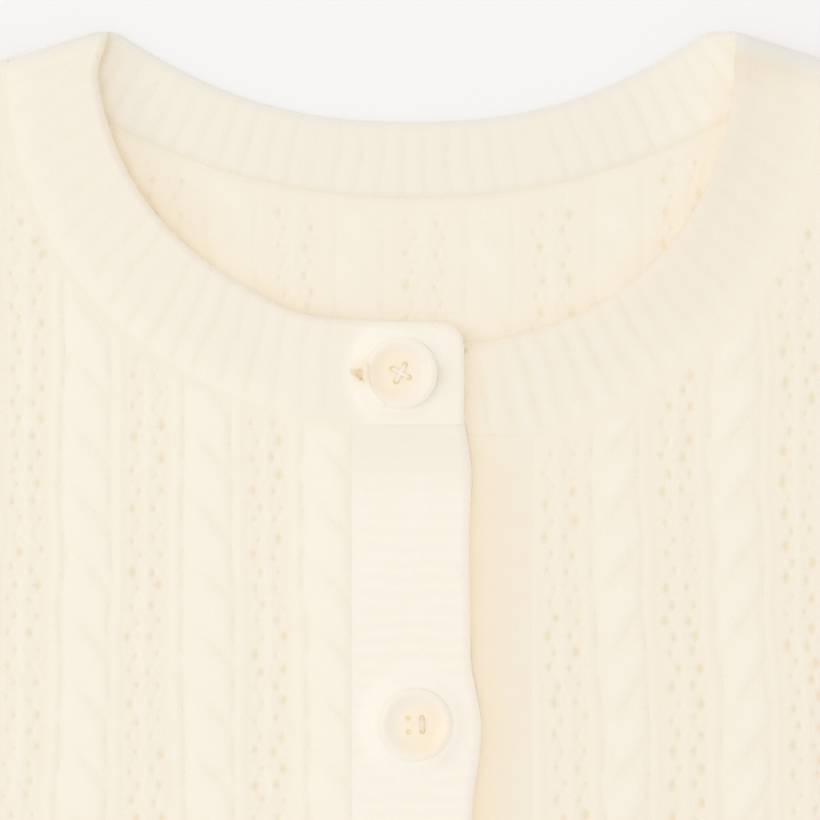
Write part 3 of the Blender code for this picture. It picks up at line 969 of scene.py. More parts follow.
class ClothMesh:
    """Gathers the points and faces of one closed shell of knitted cloth."""

    CREASE = math.radians(60)

    def __init__(self, name: str, top: float) -> None:
        """Starts an empty shell.

        Args:
            name: Name of the piece.
            top: Where the cutting sheet's zero height lies in the frame.
        """
        self.name = name
        self.top = top
        self.points: list[np.ndarray] = []
        self.stitches: list[np.ndarray] = []
        self.painted_shades: list[np.ndarray] = []
        self.painted_bounces: list[np.ndarray] = []
        self.faces: list[tuple[int, ...]] = []
        self.count = 0

    def add(self, plan: Line, z: np.ndarray, stitches: Line, hollow: Any = 0.0,
            bounce: Any = 0.0) -> int:
        """Adds points.

        Args:
            plan: Plan points.
            z: Their heights.
            stitches: Place of each in the fabric, across and along its columns.
            hollow: Painted shade on each, from 0 to 1: darker and warmer in hollows, under edges and
                at seams.
            bounce: Painted light on each, from -1, cooler painted shade at a bare edge, to 1, painted
                warm light between layers.

        Returns:
            Number of the first point.
        """
        first = self.count
        self.points.append(np.column_stack([plan[:, 0], plan[:, 1] + self.top, z]))
        self.stitches.append(stitches)
        self.painted_shades.append(np.broadcast_to(hollow, len(plan)))
        self.painted_bounces.append(np.broadcast_to(bounce, len(plan)))
        self.count += len(plan)
        return first

    def bridge(self, low: np.ndarray, high: np.ndarray) -> None:
        """Joins two closed rows of points with quads.

        Args:
            low: Numbers of one row's points.
            high: Numbers of the other's.
        """
        for i in range(len(low)):
            j = (i + 1) % len(low)
            self.faces.append((int(low[i]), int(low[j]), int(high[j]), int(high[i])))

    def cap(self, row: np.ndarray) -> None:
        """Closes a row of points with one face, which faces as the row turns."""
        self.faces.append(tuple(int(i) for i in row))

    def finish(self, material: bpy.types.Material) -> bpy.types.Object:
        """Makes the object.

        Args:
            material: Its material, which reads the stitches as a UV map and the rest as attributes.

        Returns:
            The object, its place in its mesh.
        """
        mesh = bpy.data.meshes.new(self.name)
        mesh.from_pydata(np.vstack(self.points).tolist(), [], self.faces)
        corners = np.empty(len(mesh.loops), int)
        mesh.loops.foreach_get("vertex_index", corners)
        uv = mesh.uv_layers.new(name="stitches")
        uv.data.foreach_set("uv", np.vstack(self.stitches)[corners].ravel())
        for name, parts in (("hollow", self.painted_shades), ("bounce", self.painted_bounces)):
            shade = mesh.attributes.new(name, "FLOAT", "POINT")
            shade.data.foreach_set("value", np.concatenate(parts))
        mesh.materials.append(material)
        mesh.shade_smooth()
        mesh.set_sharp_from_angle(angle=self.CREASE)
        mesh.validate()
        piece = bpy.data.objects.new(self.name, mesh)
        bpy.context.scene.collection.objects.link(piece)
        return piece


def filled(points: Line, rim_count: int) -> list[tuple[int, ...]]:
    """Triangles that fill an outline and use every point inside it.

    Args:
        points: Plan points, the closed outline first.
        rim_count: How many of them are the outline.

    Returns:
        Triangles as numbers of points, facing up.
    """
    rim = [(i, (i + 1) % rim_count) for i in range(rim_count)]
    spots = [Vector(point) for point in points.tolist()]
    verts, _, faces, _, _, _ = delaunay_2d_cdt(spots, rim, [], 1, 1e-9)
    if len(verts) != len(points):
        raise ValueError("Two points of a panel coincide, or one lies on its outline")
    return [tuple(face) for face in faces]


@dataclass
class Panel:
    """A flat panel of knit with a plain underside, its edges sewn to bands all round."""

    name: str
    rim: Line
    neck: Line
    under: Field
    top: Field
    knit: CableField
    rest_top: float
    # Painted shade and painted light: the piece's tone with painted shade, painted warm or cooler
    # light, painted shade by relief below the mean, and painted shade and painted warm light in the
    # eyelets.
    warmth: Field
    bounce: Field = level(0.0)
    mean_relief: float = 0.3 * MM
    tint: float = 0.2 / MM
    eyelet_tint: float = 0.27
    eyelet_glow: float = 0.22
    eyelet_power: float = 1.5
    # Rings of points round an eyelet: how many, how far out, and how deep they are sunk.
    rings: tuple[tuple[int, float, float], ...] = (
        (10, 1.7, 0.0),
        (9, 1.15, 0.35),
        (6, 0.6, 0.85),
        (1, 0.0, 1.0),
    )
    ring_room: float = 0.45
    ring_mark: float = 0.001
    deepest: float = 1.3
    dense: tuple[float, float, float, float] | None = None
    spacing: float = 0.62 * MM
    coarse: float = 9 * MM
    insets: tuple[float, float] = (0.25 * MM, 0.6 * MM)
    clear: tuple[float, float] = (0.9 * MM, 1.6 * MM)
    clear_under: float = 1 * MM
    clear_neck: float = 0.6
    seam_reach: float = 2.4 * MM
    seam_drop: float = 0.13 * MM
    seam_painted_shade: float = 0.0
    edge_fade: float = 1.2 * MM
    neck_fade: float = 5 * MM
    neck_left: float = 0.1
    fold: Line | None = None
    fold_radius: float = 3 * MM
    fold_edge: float = 0.2 * MM
    # Cooler painted shade along the fold, where the cloth turns down.
    fold_light: Fade = Fade(2.2 * MM, 0.2 * MM, 0.0, 0.6)

    def within(self, points: Line) -> np.ndarray:
        """Tells which points lie in the panel, by every fourth point of its outline."""
        return inside(points, self.rim[::4])

    def lattice(self) -> tuple[Line, np.ndarray]:
        """Lays out the points of the upper face.

        Returns:
            Plan points, and how far each is sunk into an eyelet.
        """
        low, high = self.rim.min(0), self.rim.max(0)
        if self.dense:
            low = np.maximum(low, self.dense[:2])
            high = np.minimum(high, self.dense[2:])
        lean = abs(self.knit.lean)
        columns = np.arange(low[0] - lean, high[0] + lean, self.spacing)
        columns += (self.knit.first - columns[0]) % self.spacing
        rows = np.arange(low[1], high[1], self.spacing)
        x, y = (a.ravel() for a in np.meshgrid(columns, rows))
        plain = np.column_stack([x + self.knit.leaning(x, y), y])
        spots, sizes = self.knit.eyelets(low[0], high[0], -low[1])
        eyelet = np.array(self.knit.openwork.eyelet)
        nearest = tree_of(spots / eyelet)
        found = [nearest.find((px, py, 0.0)) for px, py in plain / eyelet]
        reach = np.array([hit[2] for hit in found])
        clear = reach > self.rings[0][1] * sizes[[hit[1] for hit in found]] + self.ring_room
        points = [plain[clear]]
        sinks = [np.zeros(int(clear.sum()))]
        for count, share, sink in self.rings:
            angle = 2 * math.pi * np.arange(count) / count
            ring = share * np.column_stack([np.cos(angle), np.sin(angle)]) * eyelet
            placed = spots[:, None, :] + ring[None, :, :] * sizes[:, None, None]
            points.append(placed.reshape(-1, 2))
            sinks.append(np.repeat(self.ring_mark + sink * np.minimum(self.deepest, sizes), count))
        points, sinks = np.vstack(points), np.concatenate(sinks)
        keep = self.within(points)
        return points[keep], sinks[keep]

    def underside(self, near: Nearness) -> Line:
        """Lays out the sparse points of the plain underside.

        Args:
            near: Distance from the outline.

        Returns:
            Plan points.
        """
        steps = [np.arange(low, high, self.coarse)
                 for low, high in zip(self.rim.min(0), self.rim.max(0))]
        spread = np.column_stack([a.ravel() for a in np.meshgrid(*steps)])
        spread = spread[self.within(spread)]
        return spread[near.of(spread) > self.clear_under]

    def build(self, material: bpy.types.Material) -> bpy.types.Object:
        """Makes the panel's shell.

        Args:
            material: The yarn's material.

        Returns:
            The panel.
        """
        shell = ClothMesh(self.name, self.rest_top)
        near, neck = Nearness(self.rim), Nearness(self.neck, closed=False)
        points, sinks = self.lattice()
        clear = near.of(points) > np.where(sinks > 0, self.clear[1], self.clear[0])
        clear &= (sinks == 0) | (neck.of(points) > self.clear_neck * self.neck_fade)
        count = len(self.rim)
        upper = np.vstack([self.rim, *(inset(self.rim, step) for step in self.insets), points[clear]])
        sunk = np.concatenate([np.zeros(len(upper) - int(clear.sum())), sinks[clear]])
        away = near.of(upper)
        x, y = upper.T
        fade = Fade(0.0, self.neck_fade, self.neck_left).at(neck.of(upper))
        relief = self.knit.height(x, y) * fade * smooth(0.0, self.edge_fade, away)
        at_seam = smooth(self.seam_reach, 0.0, away)
        z = self.top(x, y) + relief - sunk * self.knit.openwork.depth - self.seam_drop * at_seam
        bounce = self.bounce(x, y)
        if self.fold is not None:
            low = self.under(x, y) + self.fold_edge
            folded = Nearness(self.fold, closed=False).of(upper)
            z = low + (z - low) * rounding(folded, self.fold_radius)
            bounce = bounce - self.fold_light.at(folded)
        # Painted shade by relief below the mean, at the seam and in the eyelets, with painted warm
        # light in the eyelets.
        pit = sunk ** self.eyelet_power
        hollow = self.warmth(x, y) + self.tint * (self.mean_relief - relief) + self.seam_painted_shade * at_seam
        hollow = np.clip(hollow + self.eyelet_tint * pit, 0.0, 1.0)
        first = shell.add(upper, z, upper, hollow, bounce + self.eyelet_glow * pit)
        shell.faces += filled(upper, count)
        base_rim = shell.add(self.rim, self.under(*self.rim.T), self.rim)
        spread = self.underside(near)
        shell.add(spread, self.under(*spread.T), spread)
        for face in filled(np.vstack([self.rim, spread]), count):
            shell.cap(base_rim + np.array(face[::-1]))
        shell.bridge(base_rim + np.arange(count), first + np.arange(count))
        return shell.finish(material)


class Measure(Enum):
    """What the ribs of a strip fade by."""

    ALONG = "along"
    ACROSS = "across"
    X = "x"


@dataclass(frozen=True)
class Ribbing:
    """A one by one rib: round ridges with narrow grooves, no two quite alike."""

    pitch: float = 4.3 * MM
    height: float = 0.32 * MM
    roundness: float = 0.4
    mean: float = 0.65
    wander: Ripple = Ripple(14 * MM, 0.3 * MM, 5)
    strength: Ripple = Ripple(11 * MM, 0.3, 8)
    stretch: float = 0.4
    limits: tuple[float, float] = (0.25, 1.6)

    def height_at(self, along: np.ndarray, across: np.ndarray, length: float) -> np.ndarray:
        """Height of the ribs.

        Args:
            along: Distance along the strip.
            across: Distance across it.
            length: Whole length of the strip, which takes a whole number of ribs.

        Returns:
            Height over the ribbing's mean level.
        """
        count = max(1, round(length / self.pitch))
        wave = (along + self.wander.at(along, across)) * count / length
        crest = 0.5 - 0.5 * np.cos(2 * math.pi * wave)
        groove = np.clip(1 + self.strength.at(along, self.stretch * across), *self.limits)
        return self.height * groove * (crest ** self.roundness - self.mean)


@dataclass(frozen=True)
class Lip:
    """A fold of cloth that stands against part of a button's rim, between two angles."""

    start: float
    end: float
    radius: float
    height: float
    ease: tuple[float, float] = (18.0, 6.0)
    outer_slope: float = 1.9 * MM
    inner_slope: float = 1.2 * MM

    def at(self, angle: np.ndarray, away: np.ndarray) -> np.ndarray:
        """Height of the fold.

        Args:
            angle: Angles round the button's middle, in degrees.
            away: Distances from it.

        Returns:
            Height over the cloth at each place.
        """
        out, back = self.ease
        ends = smooth(self.start - out, self.start + back, angle)
        ends = ends * smooth(self.end + out, self.end - back, angle)
        slope = np.where(away > self.radius, self.outer_slope, self.inner_slope)
        return self.height * ends * bump(away - self.radius, slope)


@dataclass(frozen=True)
class Buttonhole:
    """A slit round the shank of a button, its lips pushed up by the button's rim."""

    middle: tuple[float, float]
    lips: tuple[Lip, ...] = ()
    open_end: float = 0.0
    open_start: float = 7.4 * MM
    open_side: float = 0.7 * MM
    open_slope: float = 0.75
    open_lift: float = 0.3 * MM
    low_wall: tuple[float, float] = (0.2 * MM, 0.3 * MM)
    high_wall: float = 0.25 * MM
    start_wall: float = 0.9 * MM
    end_wall: float = 0.8 * MM
    cushion: float = 1.95 * MM
    cushion_radius: float = 7.6 * MM
    cushion_width: float = 2.4 * MM
    low_at: float = 60.0
    low_by: float = 0.15
    # Painted warm light round the slit's open end, and painted shade in the slit.
    glow: Fade = Fade(4.8 * MM, 0.8 * MM, 0.0, 0.42)
    slit_painted_shade: float = 0.5

    def opening(self, across: np.ndarray, up: np.ndarray) -> np.ndarray:
        """Draws the slit's open end, a narrow wedge.

        Args:
            across: Distance from the button's middle to the wearer's left.
            up: Distance from it upwards.

        Returns:
            Share of the full depth at each place.
        """
        low = self.open_side - (across + self.open_end) * self.open_slope
        wedge = smooth(low - self.low_wall[0], low + self.low_wall[1], up)
        wedge *= smooth(self.open_side + self.high_wall, self.open_side - self.high_wall, up)
        wedge *= smooth(-self.open_start, -self.open_start - self.start_wall, across)
        return wedge * smooth(-self.open_end, self.end_wall - self.open_end, across)

    def height(self, x: np.ndarray, y: np.ndarray) -> np.ndarray:
        """Height of the cloth that the button pushes up.

        Args:
            x: Distance to the wearer's left.
            y: Height on the cutting sheet.

        Returns:
            Height over the plain face at those places.
        """
        across, up = x - self.middle[0], y - self.middle[1]
        angle = np.degrees(np.arctan2(up, across)) % 360
        away = np.hypot(across, up)
        low = self.low_by * np.maximum(0.0, np.cos(np.radians(angle - self.low_at))) ** 2
        total = self.cushion * (1 - low) * bump(away - self.cushion_radius, self.cushion_width)
        for lip in self.lips:
            total = np.maximum(total, lip.at(angle, away))
        if self.open_end:
            total = total - (total - self.open_lift) * self.opening(across, up)
        return total

    def slit_painted_glow(self, x: np.ndarray, y: np.ndarray) -> np.ndarray:
        """Painted warm light on the cloth between the slit's open end and the button."""
        slit = self.middle[0] - self.open_start
        return self.glow.at(np.hypot(x - slit, y - self.middle[1]))

    def shade(self, x: np.ndarray, y: np.ndarray) -> np.ndarray:
        """Painted shade in the slit, and just round it."""
        slit = self.opening(x - self.middle[0], y - self.middle[1])
        return self.slit_painted_glow(x, y) + self.slit_painted_shade * slit


@dataclass
class Strip:
    """A strip of knit between a free rail and a seam rail, with a station at each point."""

    name: str
    free: Line
    seam: Line
    under: Field
    top: Field
    rest_top: float
    ribs: Ribbing | None = None
    ribbed: float = 0.0
    shown: tuple[tuple[Measure, Fade], ...] = ()
    holes: tuple[Buttonhole, ...] = ()
    # Painted shade and painted light: the piece's tone with painted shade, painted warm light, cooler
    # painted shade at its free edge and start, the neighbour's shade near the seam, and painted shade
    # in rib grooves.
    warmth: Field = level(0.16)
    bounce: Field = level(0.0)
    cool: tuple[float, float] = (0.0, 0.0)
    cool_reach: tuple[float, float] = (2.4 * MM, 2.4 * MM)
    cool_full: float = 0.4 * MM
    next_warmth: float | None = None
    next_across: Fade = Fade(8 * MM, 0.0)
    next_beyond: Fade = Fade(20 * MM, 32 * MM)
    tint: float = 0.7 / MM
    painted_relief_limit: float = 0.3 * MM
    free_ends: tuple[bool, bool] = (False, False)
    free_radius: float = 1.1 * MM
    edge_lift: float = 0.25
    rest: Field | None = None
    seam_reach: float = 2.4 * MM
    seam_drop: float = 0.1 * MM
    seam_painted_shade: float = 0.0
    seam_lap: float = 0.3 * MM
    seam_relief: float = 0.2
    spacing: float = 0.6 * MM
    edge_steps: tuple[float, ...] = (0.0, 0.05 * MM, 0.2 * MM, 0.45 * MM, 0.8 * MM)
    edge_room: tuple[float, float] = (1.3 * MM, 1.2 * MM)
    under_steps: tuple[float, float] = (1.4 * MM, 0.3 * MM)
    under_middle: float = 0.55

    def shares(self, width: float) -> np.ndarray:
        """Spaces the points across the strip, which laps a little over its seam.

        Args:
            width: The strip's width.

        Returns:
            Their places as shares of the width.
        """
        edge = np.array(self.edge_steps)
        end = width + self.seam_lap
        inner = np.arange(self.edge_room[0], end - self.edge_room[1], self.spacing)
        return np.concatenate([edge, inner, end - edge[::-1]]) / width

    def relief(self, along: np.ndarray, across: np.ndarray, plan: Line) -> np.ndarray:
        """Height of the ribs, and of the cloth round the buttons.

        Args:
            along: Distance along the strip.
            across: Distance across it.
            plan: The same places as plan points.

        Returns:
            Height over the plain cloth.
        """
        x, y = plan[..., 0], plan[..., 1]
        rise = np.zeros(along.shape)
        if self.ribs:
            rise = self.ribs.height_at(along, across, self.ribbed)
        places = {Measure.ALONG: along, Measure.ACROSS: across, Measure.X: x}
        for measure, fade in self.shown:
            rise = rise * fade.at(places[measure])
        return rise + sum(hole.height(x, y) for hole in self.holes)

    def build(self, material: bpy.types.Material) -> bpy.types.Object:
        """Makes the strip's shell.

        Args:
            material: The yarn's material.

        Returns:
            The strip.
        """
        shell = ClothMesh(self.name, self.rest_top)
        widths = np.linalg.norm(self.seam - self.free, axis=1)
        along = arc_lengths(0.5 * (self.free + self.seam))
        upper = self.shares(float(np.median(widths)))
        back = np.array(self.under_steps) / widths.mean()
        shares = np.concatenate([upper, upper[-1:], [self.under_middle], back])
        below = np.arange(len(shares)) >= len(upper)
        plan = self.free[:, None, :] + (self.seam - self.free)[:, None, :] * shares[None, :, None]
        across = widths[:, None] * shares[None, :]
        to_seam = widths[:, None] - across
        down = np.repeat(along[:, None], len(shares), axis=1)
        x, y = plan[..., 0], plan[..., 1]
        full = rounding(across, self.free_radius)
        for free_end, away in zip(self.free_ends, (down, along[-1] - down)):
            full = full * rounding(away, self.free_radius) if free_end else full
        under, top = self.under(x, y), self.top(x, y)
        edge = self.rest(x, y) if self.rest else under + self.edge_lift * (top - under)
        at_seam = smooth(self.seam_reach, 0.0, to_seam)
        rise = self.relief(down, across, plan) * (1 - (1 - self.seam_relief) * at_seam)
        raised_z = edge + (top - edge + rise) * full - self.seam_drop * at_seam
        z = np.where(below[None, :], edge - (edge - under) * full, raised_z)
        # Painted shade at the seam and in the rib grooves, lighter on the crests, blended to the
        # neighbour's near the seam; cooler painted shade at the free edge and start.
        hollow = self.warmth(x, y) + self.seam_painted_shade * at_seam
        hollow = hollow - self.tint * np.minimum(rise, self.painted_relief_limit)
        bounce = self.bounce(x, y)
        if self.next_warmth is not None:
            alike = self.next_across.at(to_seam) * self.next_beyond.at(np.abs(x))
            hollow = hollow + alike * (self.next_warmth - self.warmth(x, y))
            bounce = bounce * (1 - alike)
        for strength, reach, away in zip(self.cool, self.cool_reach, (across, down)):
            bounce = bounce - strength * smooth(reach, self.cool_full, away)
        stitches = np.stack([down, across], axis=-1)
        first = shell.add(plan.reshape(-1, 2), z.ravel(), stitches.reshape(-1, 2),
                          np.clip(hollow, 0.0, 1.0).ravel(), bounce.ravel())
        number = first + np.arange(z.size).reshape(z.shape)
        for low, high in zip(number, number[1:]):
            shell.bridge(low, high)
        shell.cap(number[0][::-1])
        shell.cap(number[-1])
        return shell.finish(material)


END_STEPS = (0.0, 0.07 * MM, 0.25 * MM, 0.6 * MM)


def stations(length: float, spacing: float, free_ends: tuple[bool, bool]) -> np.ndarray:
    """Spaces the stations along a strip, closer together at a free end.

    Args:
        length: The strip's length.
        spacing: Distance between two stations.
        free_ends: Whether its start and its end are free.

    Returns:
        Their places as shares of the length.
    """
    edge = np.array(END_STEPS)
    start = edge if free_ends[0] else edge[:1]
    end = length - (edge[::-1] if free_ends[1] else edge[:1])
    inner = np.linspace(start[-1], end[0], max(2, round((end[0] - start[-1]) / spacing)) + 1)
    return np.concatenate([start[:-1], inner, end[1:]]) / length


def pick(piece: bpy.types.Object, wanted: Callable[[bpy.types.MeshPolygon], bool]) -> None:
    """Selects the faces of a piece that pass a test, and leaves it in edit mode.

    Args:
        piece: The active object.
        wanted: The test.
    """
    bpy.ops.object.mode_set(mode="EDIT")
    bpy.ops.mesh.select_mode(type="FACE")
    bpy.ops.mesh.select_all(action="DESELECT")
    bpy.ops.object.mode_set(mode="OBJECT")
    for face in piece.data.polygons:
        face.select = wanted(face)
    bpy.ops.object.mode_set(mode="EDIT")


def settle(piece: bpy.types.Object) -> None:
    """Moves an object's place and turn into its mesh.

    Args:
        piece: The object.
    """
    bpy.ops.object.select_all(action="DESELECT")
    piece.select_set(True)
    bpy.context.view_layer.objects.active = piece
    bpy.ops.object.transform_apply(location=True, rotation=True, scale=True)


@dataclass(frozen=True)
class SewnButton:
    """A four-hole button: a rounded rim round a wide dish, and the thread that holds it."""

    radius: float = 7.5 * MM
    edge: float = 2.0 * MM
    # Insets from the rim inwards: how far, and how much higher or lower.
    steps: tuple[tuple[float, float], ...] = (
        (0.35 * MM, 0.4 * MM),
        (0.5 * MM, 0.25 * MM),
        (0.4 * MM, -0.05 * MM),
        (0.5 * MM, -0.3 * MM),
        (0.6 * MM, -0.4 * MM),
        (0.6 * MM, -0.3 * MM),
        (0.7 * MM, -0.1 * MM),
    )
    sides: int = 72
    facing: float = 0.9
    back_bevel: float = 0.5 * MM
    bevel_segments: int = 3
    crease: float = math.radians(40)
    hole_radius: float = 0.56 * MM
    hole_sides: int = 20
    hole_spread: float = 1.42 * MM
    hole_floor: float = 1.37 * MM
    floor_room: float = 0.05 * MM
    # Painted shade in the dish, darker and warmer near a spot off its middle.
    dish_painted_shade: Fade = Fade(6.4 * MM, 4.2 * MM, 0.0, 0.5)
    thread_radius: float = 0.23 * MM
    thread_aside: float = 0.16 * MM
    thread_points: int = 15
    thread_sides: int = 8
    thread_arch: float = 0.5
    sunk_shade: float = 3.5
    sunk_glow: float = 2.0

    @property
    def dish(self) -> float:
        """Height of the dish's floor."""
        return self.edge + sum(depth for _, depth in self.steps)

    def model(self, resin: bpy.types.Material) -> bpy.types.Object:
        """Turns the button from a disc and drills its holes.

        Args:
            resin: Its material.

        Returns:
            The button, its back at the origin.
        """
        bpy.ops.object.select_all(action="DESELECT")
        bpy.ops.mesh.primitive_cylinder_add(vertices=self.sides, radius=self.radius, depth=self.edge,
                                            location=(0.0, 0.0, self.edge / 2))
        button = bpy.context.object
        settle(button)
        pick(button, lambda face: face.normal.z > self.facing)
        for thickness, depth in self.steps:
            bpy.ops.mesh.inset(thickness=thickness, depth=depth)
        pick(button, lambda face: face.normal.z < -self.facing)
        bpy.ops.mesh.bevel(offset=self.back_bevel, segments=self.bevel_segments, affect="EDGES")
        bpy.ops.object.mode_set(mode="OBJECT")
        for x in (-self.hole_spread, self.hole_spread):
            for y in (-self.hole_spread, self.hole_spread):
                self.drill(button, x, y)
        button.data.materials.append(resin)
        settle(button)
        bpy.ops.object.shade_smooth_by_angle(angle=self.crease)
        return button

    def drill(self, button: bpy.types.Object, x: float, y: float) -> None:
        """Drills one hole down to its floor.

        Args:
            button: The button.
            x: The hole's middle.
            y: The hole's middle.
        """
        bpy.ops.mesh.primitive_cylinder_add(
            vertices=self.hole_sides, radius=self.hole_radius, depth=2 * self.edge,
            location=(x, y, self.hole_floor + self.edge))
        drill = bpy.context.object
        hole = button.modifiers.new("hole", "BOOLEAN")
        hole.object = drill
        bpy.context.view_layer.objects.active = button
        bpy.ops.object.modifier_apply(modifier=hole.name)
        bpy.data.objects.remove(drill)

    def tint(self, button: bpy.types.Object, warm: tuple[float, float]) -> None:
        """Marks painted shade by how deep in the dish each point lies, centred on a spot off the
        middle, the floors of the holes darkest.

        Args:
            button: The button, its back at the origin.
            warm: Middle of the dish's painted shade, which is darker and warmer there.
        """
        marks = []
        for x, y, z in (point.co for point in button.data.vertices):
            sunk = 0.5 * self.dish < z < self.dish - self.floor_room
            hole = sunk and math.hypot(x, y) < 2 * self.hole_spread
            away = math.hypot(x - warm[0], y - warm[1])
            marks.append(1.0 if hole else float(self.dish_painted_shade.at(away)))
        dish = button.data.attributes.new("dish", "FLOAT", "POINT")
        dish.data.foreach_set("value", marks)

    def thread(self, name: str, yarn: bpy.types.Material, crossed: bool,
               shade: float) -> bpy.types.Object:
        """Winds the thread over the dish.

        Args:
            name: Name of the piece.
            yarn: The thread's material.
            crossed: Whether it runs from corner to corner, or between the holes of one side.
            shade: How much painted shade it has, from 0 to 1.

        Returns:
            The thread, where the button's back is at the origin.
        """
        shell = ClothMesh(name, 0.0)
        holes = self.hole_spread * np.array([(-1, -1), (1, 1), (-1, 1), (1, -1)])
        runs = [(holes[0], holes[1]), (holes[2], holes[3])] if crossed else [(holes[3], holes[1])]
        for start, end in runs:
            for aside in (-self.thread_aside, self.thread_aside):
                self.strand(shell, start, end, aside, shade)
        return shell.finish(yarn)

    def strand(self, shell: ClothMesh, start: np.ndarray, end: np.ndarray, aside: float,
               shade: float) -> None:
        """Adds one strand that comes up through a hole and goes down through another.

        Args:
            shell: Mesh that takes the strand.
            start: Middle of the hole it comes from.
            end: Middle of the hole it goes to.
            aside: How far it lies to the side of the line between them.
            shade: How much painted shade it has, from 0 to 1.
        """
        share = np.linspace(0.0, 1.0, self.thread_points)
        length = np.linalg.norm(end - start)
        ahead = (end - start) / length
        side = np.array([-ahead[1], ahead[0]])
        plan = start + share[:, None] * (end - start) + side * aside
        lift = np.sin(math.pi * share) ** self.thread_arch
        low = self.hole_floor + self.thread_radius
        z = low + (self.dish + self.thread_radius - low) * lift
        tilt = np.arctan(np.gradient(z, share * length))
        angle = 2 * math.pi * np.arange(self.thread_sides) / self.thread_sides
        out, up = self.thread_radius * np.cos(angle), self.thread_radius * np.sin(angle)
        rows = []
        for place, height, lean, sunk in zip(plan, z, tilt, 1 - lift):
            ring = place + out[:, None] * side - (up * math.sin(lean))[:, None] * ahead
            # Painted shade and painted warm light grow where the strand sinks into a hole.
            first = shell.add(ring, height + up * math.cos(lean), np.zeros((len(ring), 2)),
                              min(1.0, shade * (1 + self.sunk_shade * sunk)),
                              self.sunk_glow * shade * sunk)
            rows.append(first + np.arange(len(ring)))
        for low_row, high_row in zip(rows, rows[1:]):
            shell.bridge(high_row, low_row)
        shell.cap(rows[0])
        shell.cap(rows[-1][::-1])


@dataclass(frozen=True)
class Spacing:
    """How close together the points lie along each piece."""

    rails: int = 200
    front_rim: float = 0.6 * MM
    back_rim: float = 0.9 * MM
    neckband: float = 0.55 * MM
    tab: float = 0.3 * MM
    tab_across: float = 0.34 * MM
    under_band: float = 0.7 * MM
    top_band: float = 0.5 * MM
    top_band_across: float = 0.45 * MM
    armband: float = 0.7 * MM
    front_hem: float = 0.6 * MM
    back_hem: float = 1.1 * MM


@dataclass(frozen=True)
class NeckLight:
    """Painted shade and painted warm light on the cloth under the free edges that lie over it.

    The front neckband stands further off the back high up, so its shade is wider and deeper there.
    """

    soft_shade: Fade = Fade(-52 * MM, -36 * MM, 0.06, 0.34)
    soft_reach: Fade = Fade(-52 * MM, -36 * MM, 3.5 * MM, 12.5 * MM)
    edge_shade: Fade = Fade(-52 * MM, -36 * MM, 0.04, 0.26)
    edge_line: Fade = Fade(1.8 * MM, 0.3 * MM)
    right_glow: Fade = Fade(7 * MM, 1 * MM, 0.0, 0.26)
    right_glow_from: Fade = Fade(-12 * MM, -30 * MM)
    corner_cool: Fade = Fade(13 * MM, 2 * MM, 0.0, 0.3)
    corner_cool_from: Fade = Fade(-42 * MM, -14 * MM)
    left_glow: Fade = Fade(8 * MM, 0.5 * MM)
    left_least: float = 0.12
    left_most: float = 0.36
    left_below: Fade = Fade(0.0, -16 * MM)
    left_above: Fade = Fade(-34 * MM, -56 * MM, 1.0, 0.3)
    placket: Fade = Fade(9 * MM, 0.0, 0.0, 0.42)


@dataclass(frozen=True)
class Tones:
    """Each piece's tone with its painted shade, and its painted warm or cooler light, by X, by Y or
    below a seam.

    The tab's places are shares of the distance from the vest's middle to the band's seam.
    """

    right_front: float = 0.2
    left_front: float = 0.25
    back: float = 0.21
    back_band: Fade = Fade(40 * MM, 60 * MM, 0.3, 0.2)
    back_band_light: Fade = Fade(38 * MM, 58 * MM, -0.2, -0.1)
    tab: Fade = Fade(-1.3, -0.6, 0.28, 0.12)
    tab_light: Fade = Fade(-1.4, -0.7, -0.1, 0.0)
    right_band_light: Fade = Fade(-55 * MM, -35 * MM, 0.0, -0.06)
    right_band_until: Fade = Fade(-8 * MM, -18 * MM)
    left_band: Fade = Fade(-50 * MM, -70 * MM, 0.4, 0.34)
    left_band_light: float = -0.12
    # Painted shade on the left shoulder where it rounds down, and on the left neckband's rolled edge.
    left_shoulder: Fade = Fade(-14 * MM, -6 * MM, 0.0, 0.3)
    left_edge: Fade = Fade(9 * MM, 1 * MM)
    left_edge_from: Fade = Fade(-55 * MM, -25 * MM)
    left_edge_painted_shade: float = 0.12
    left_edge_light: float = -0.15
    # Painted shade on the under band, in the shade of the band on top, and painted shade and painted
    # light at the top of both front bands.
    under_band: Fade = Fade(17 * MM, 24 * MM, 0.45, 0.4)
    under_band_top: Fade = Fade(-9 * MM, 0.0, 0.0, -0.08)
    under_band_top_light: Fade = Fade(-9 * MM, 0.0, 0.0, -0.12)
    top_band: Fade = Fade(-17 * MM, -4 * MM, 0.05, 0.21)
    top_band_light: Fade = Fade(-17 * MM, -4 * MM, 0.0, -0.16)


@dataclass(frozen=True)
class Sewing:
    """How one button was sewn on: turned and tilted in degrees, with its thread crossed or not, and
    its painted shade.
    """

    turn: float
    tilt: float
    warm: tuple[float, float] = (0.0, 0.0)
    crossed: bool = False
    shade: float = 0.4


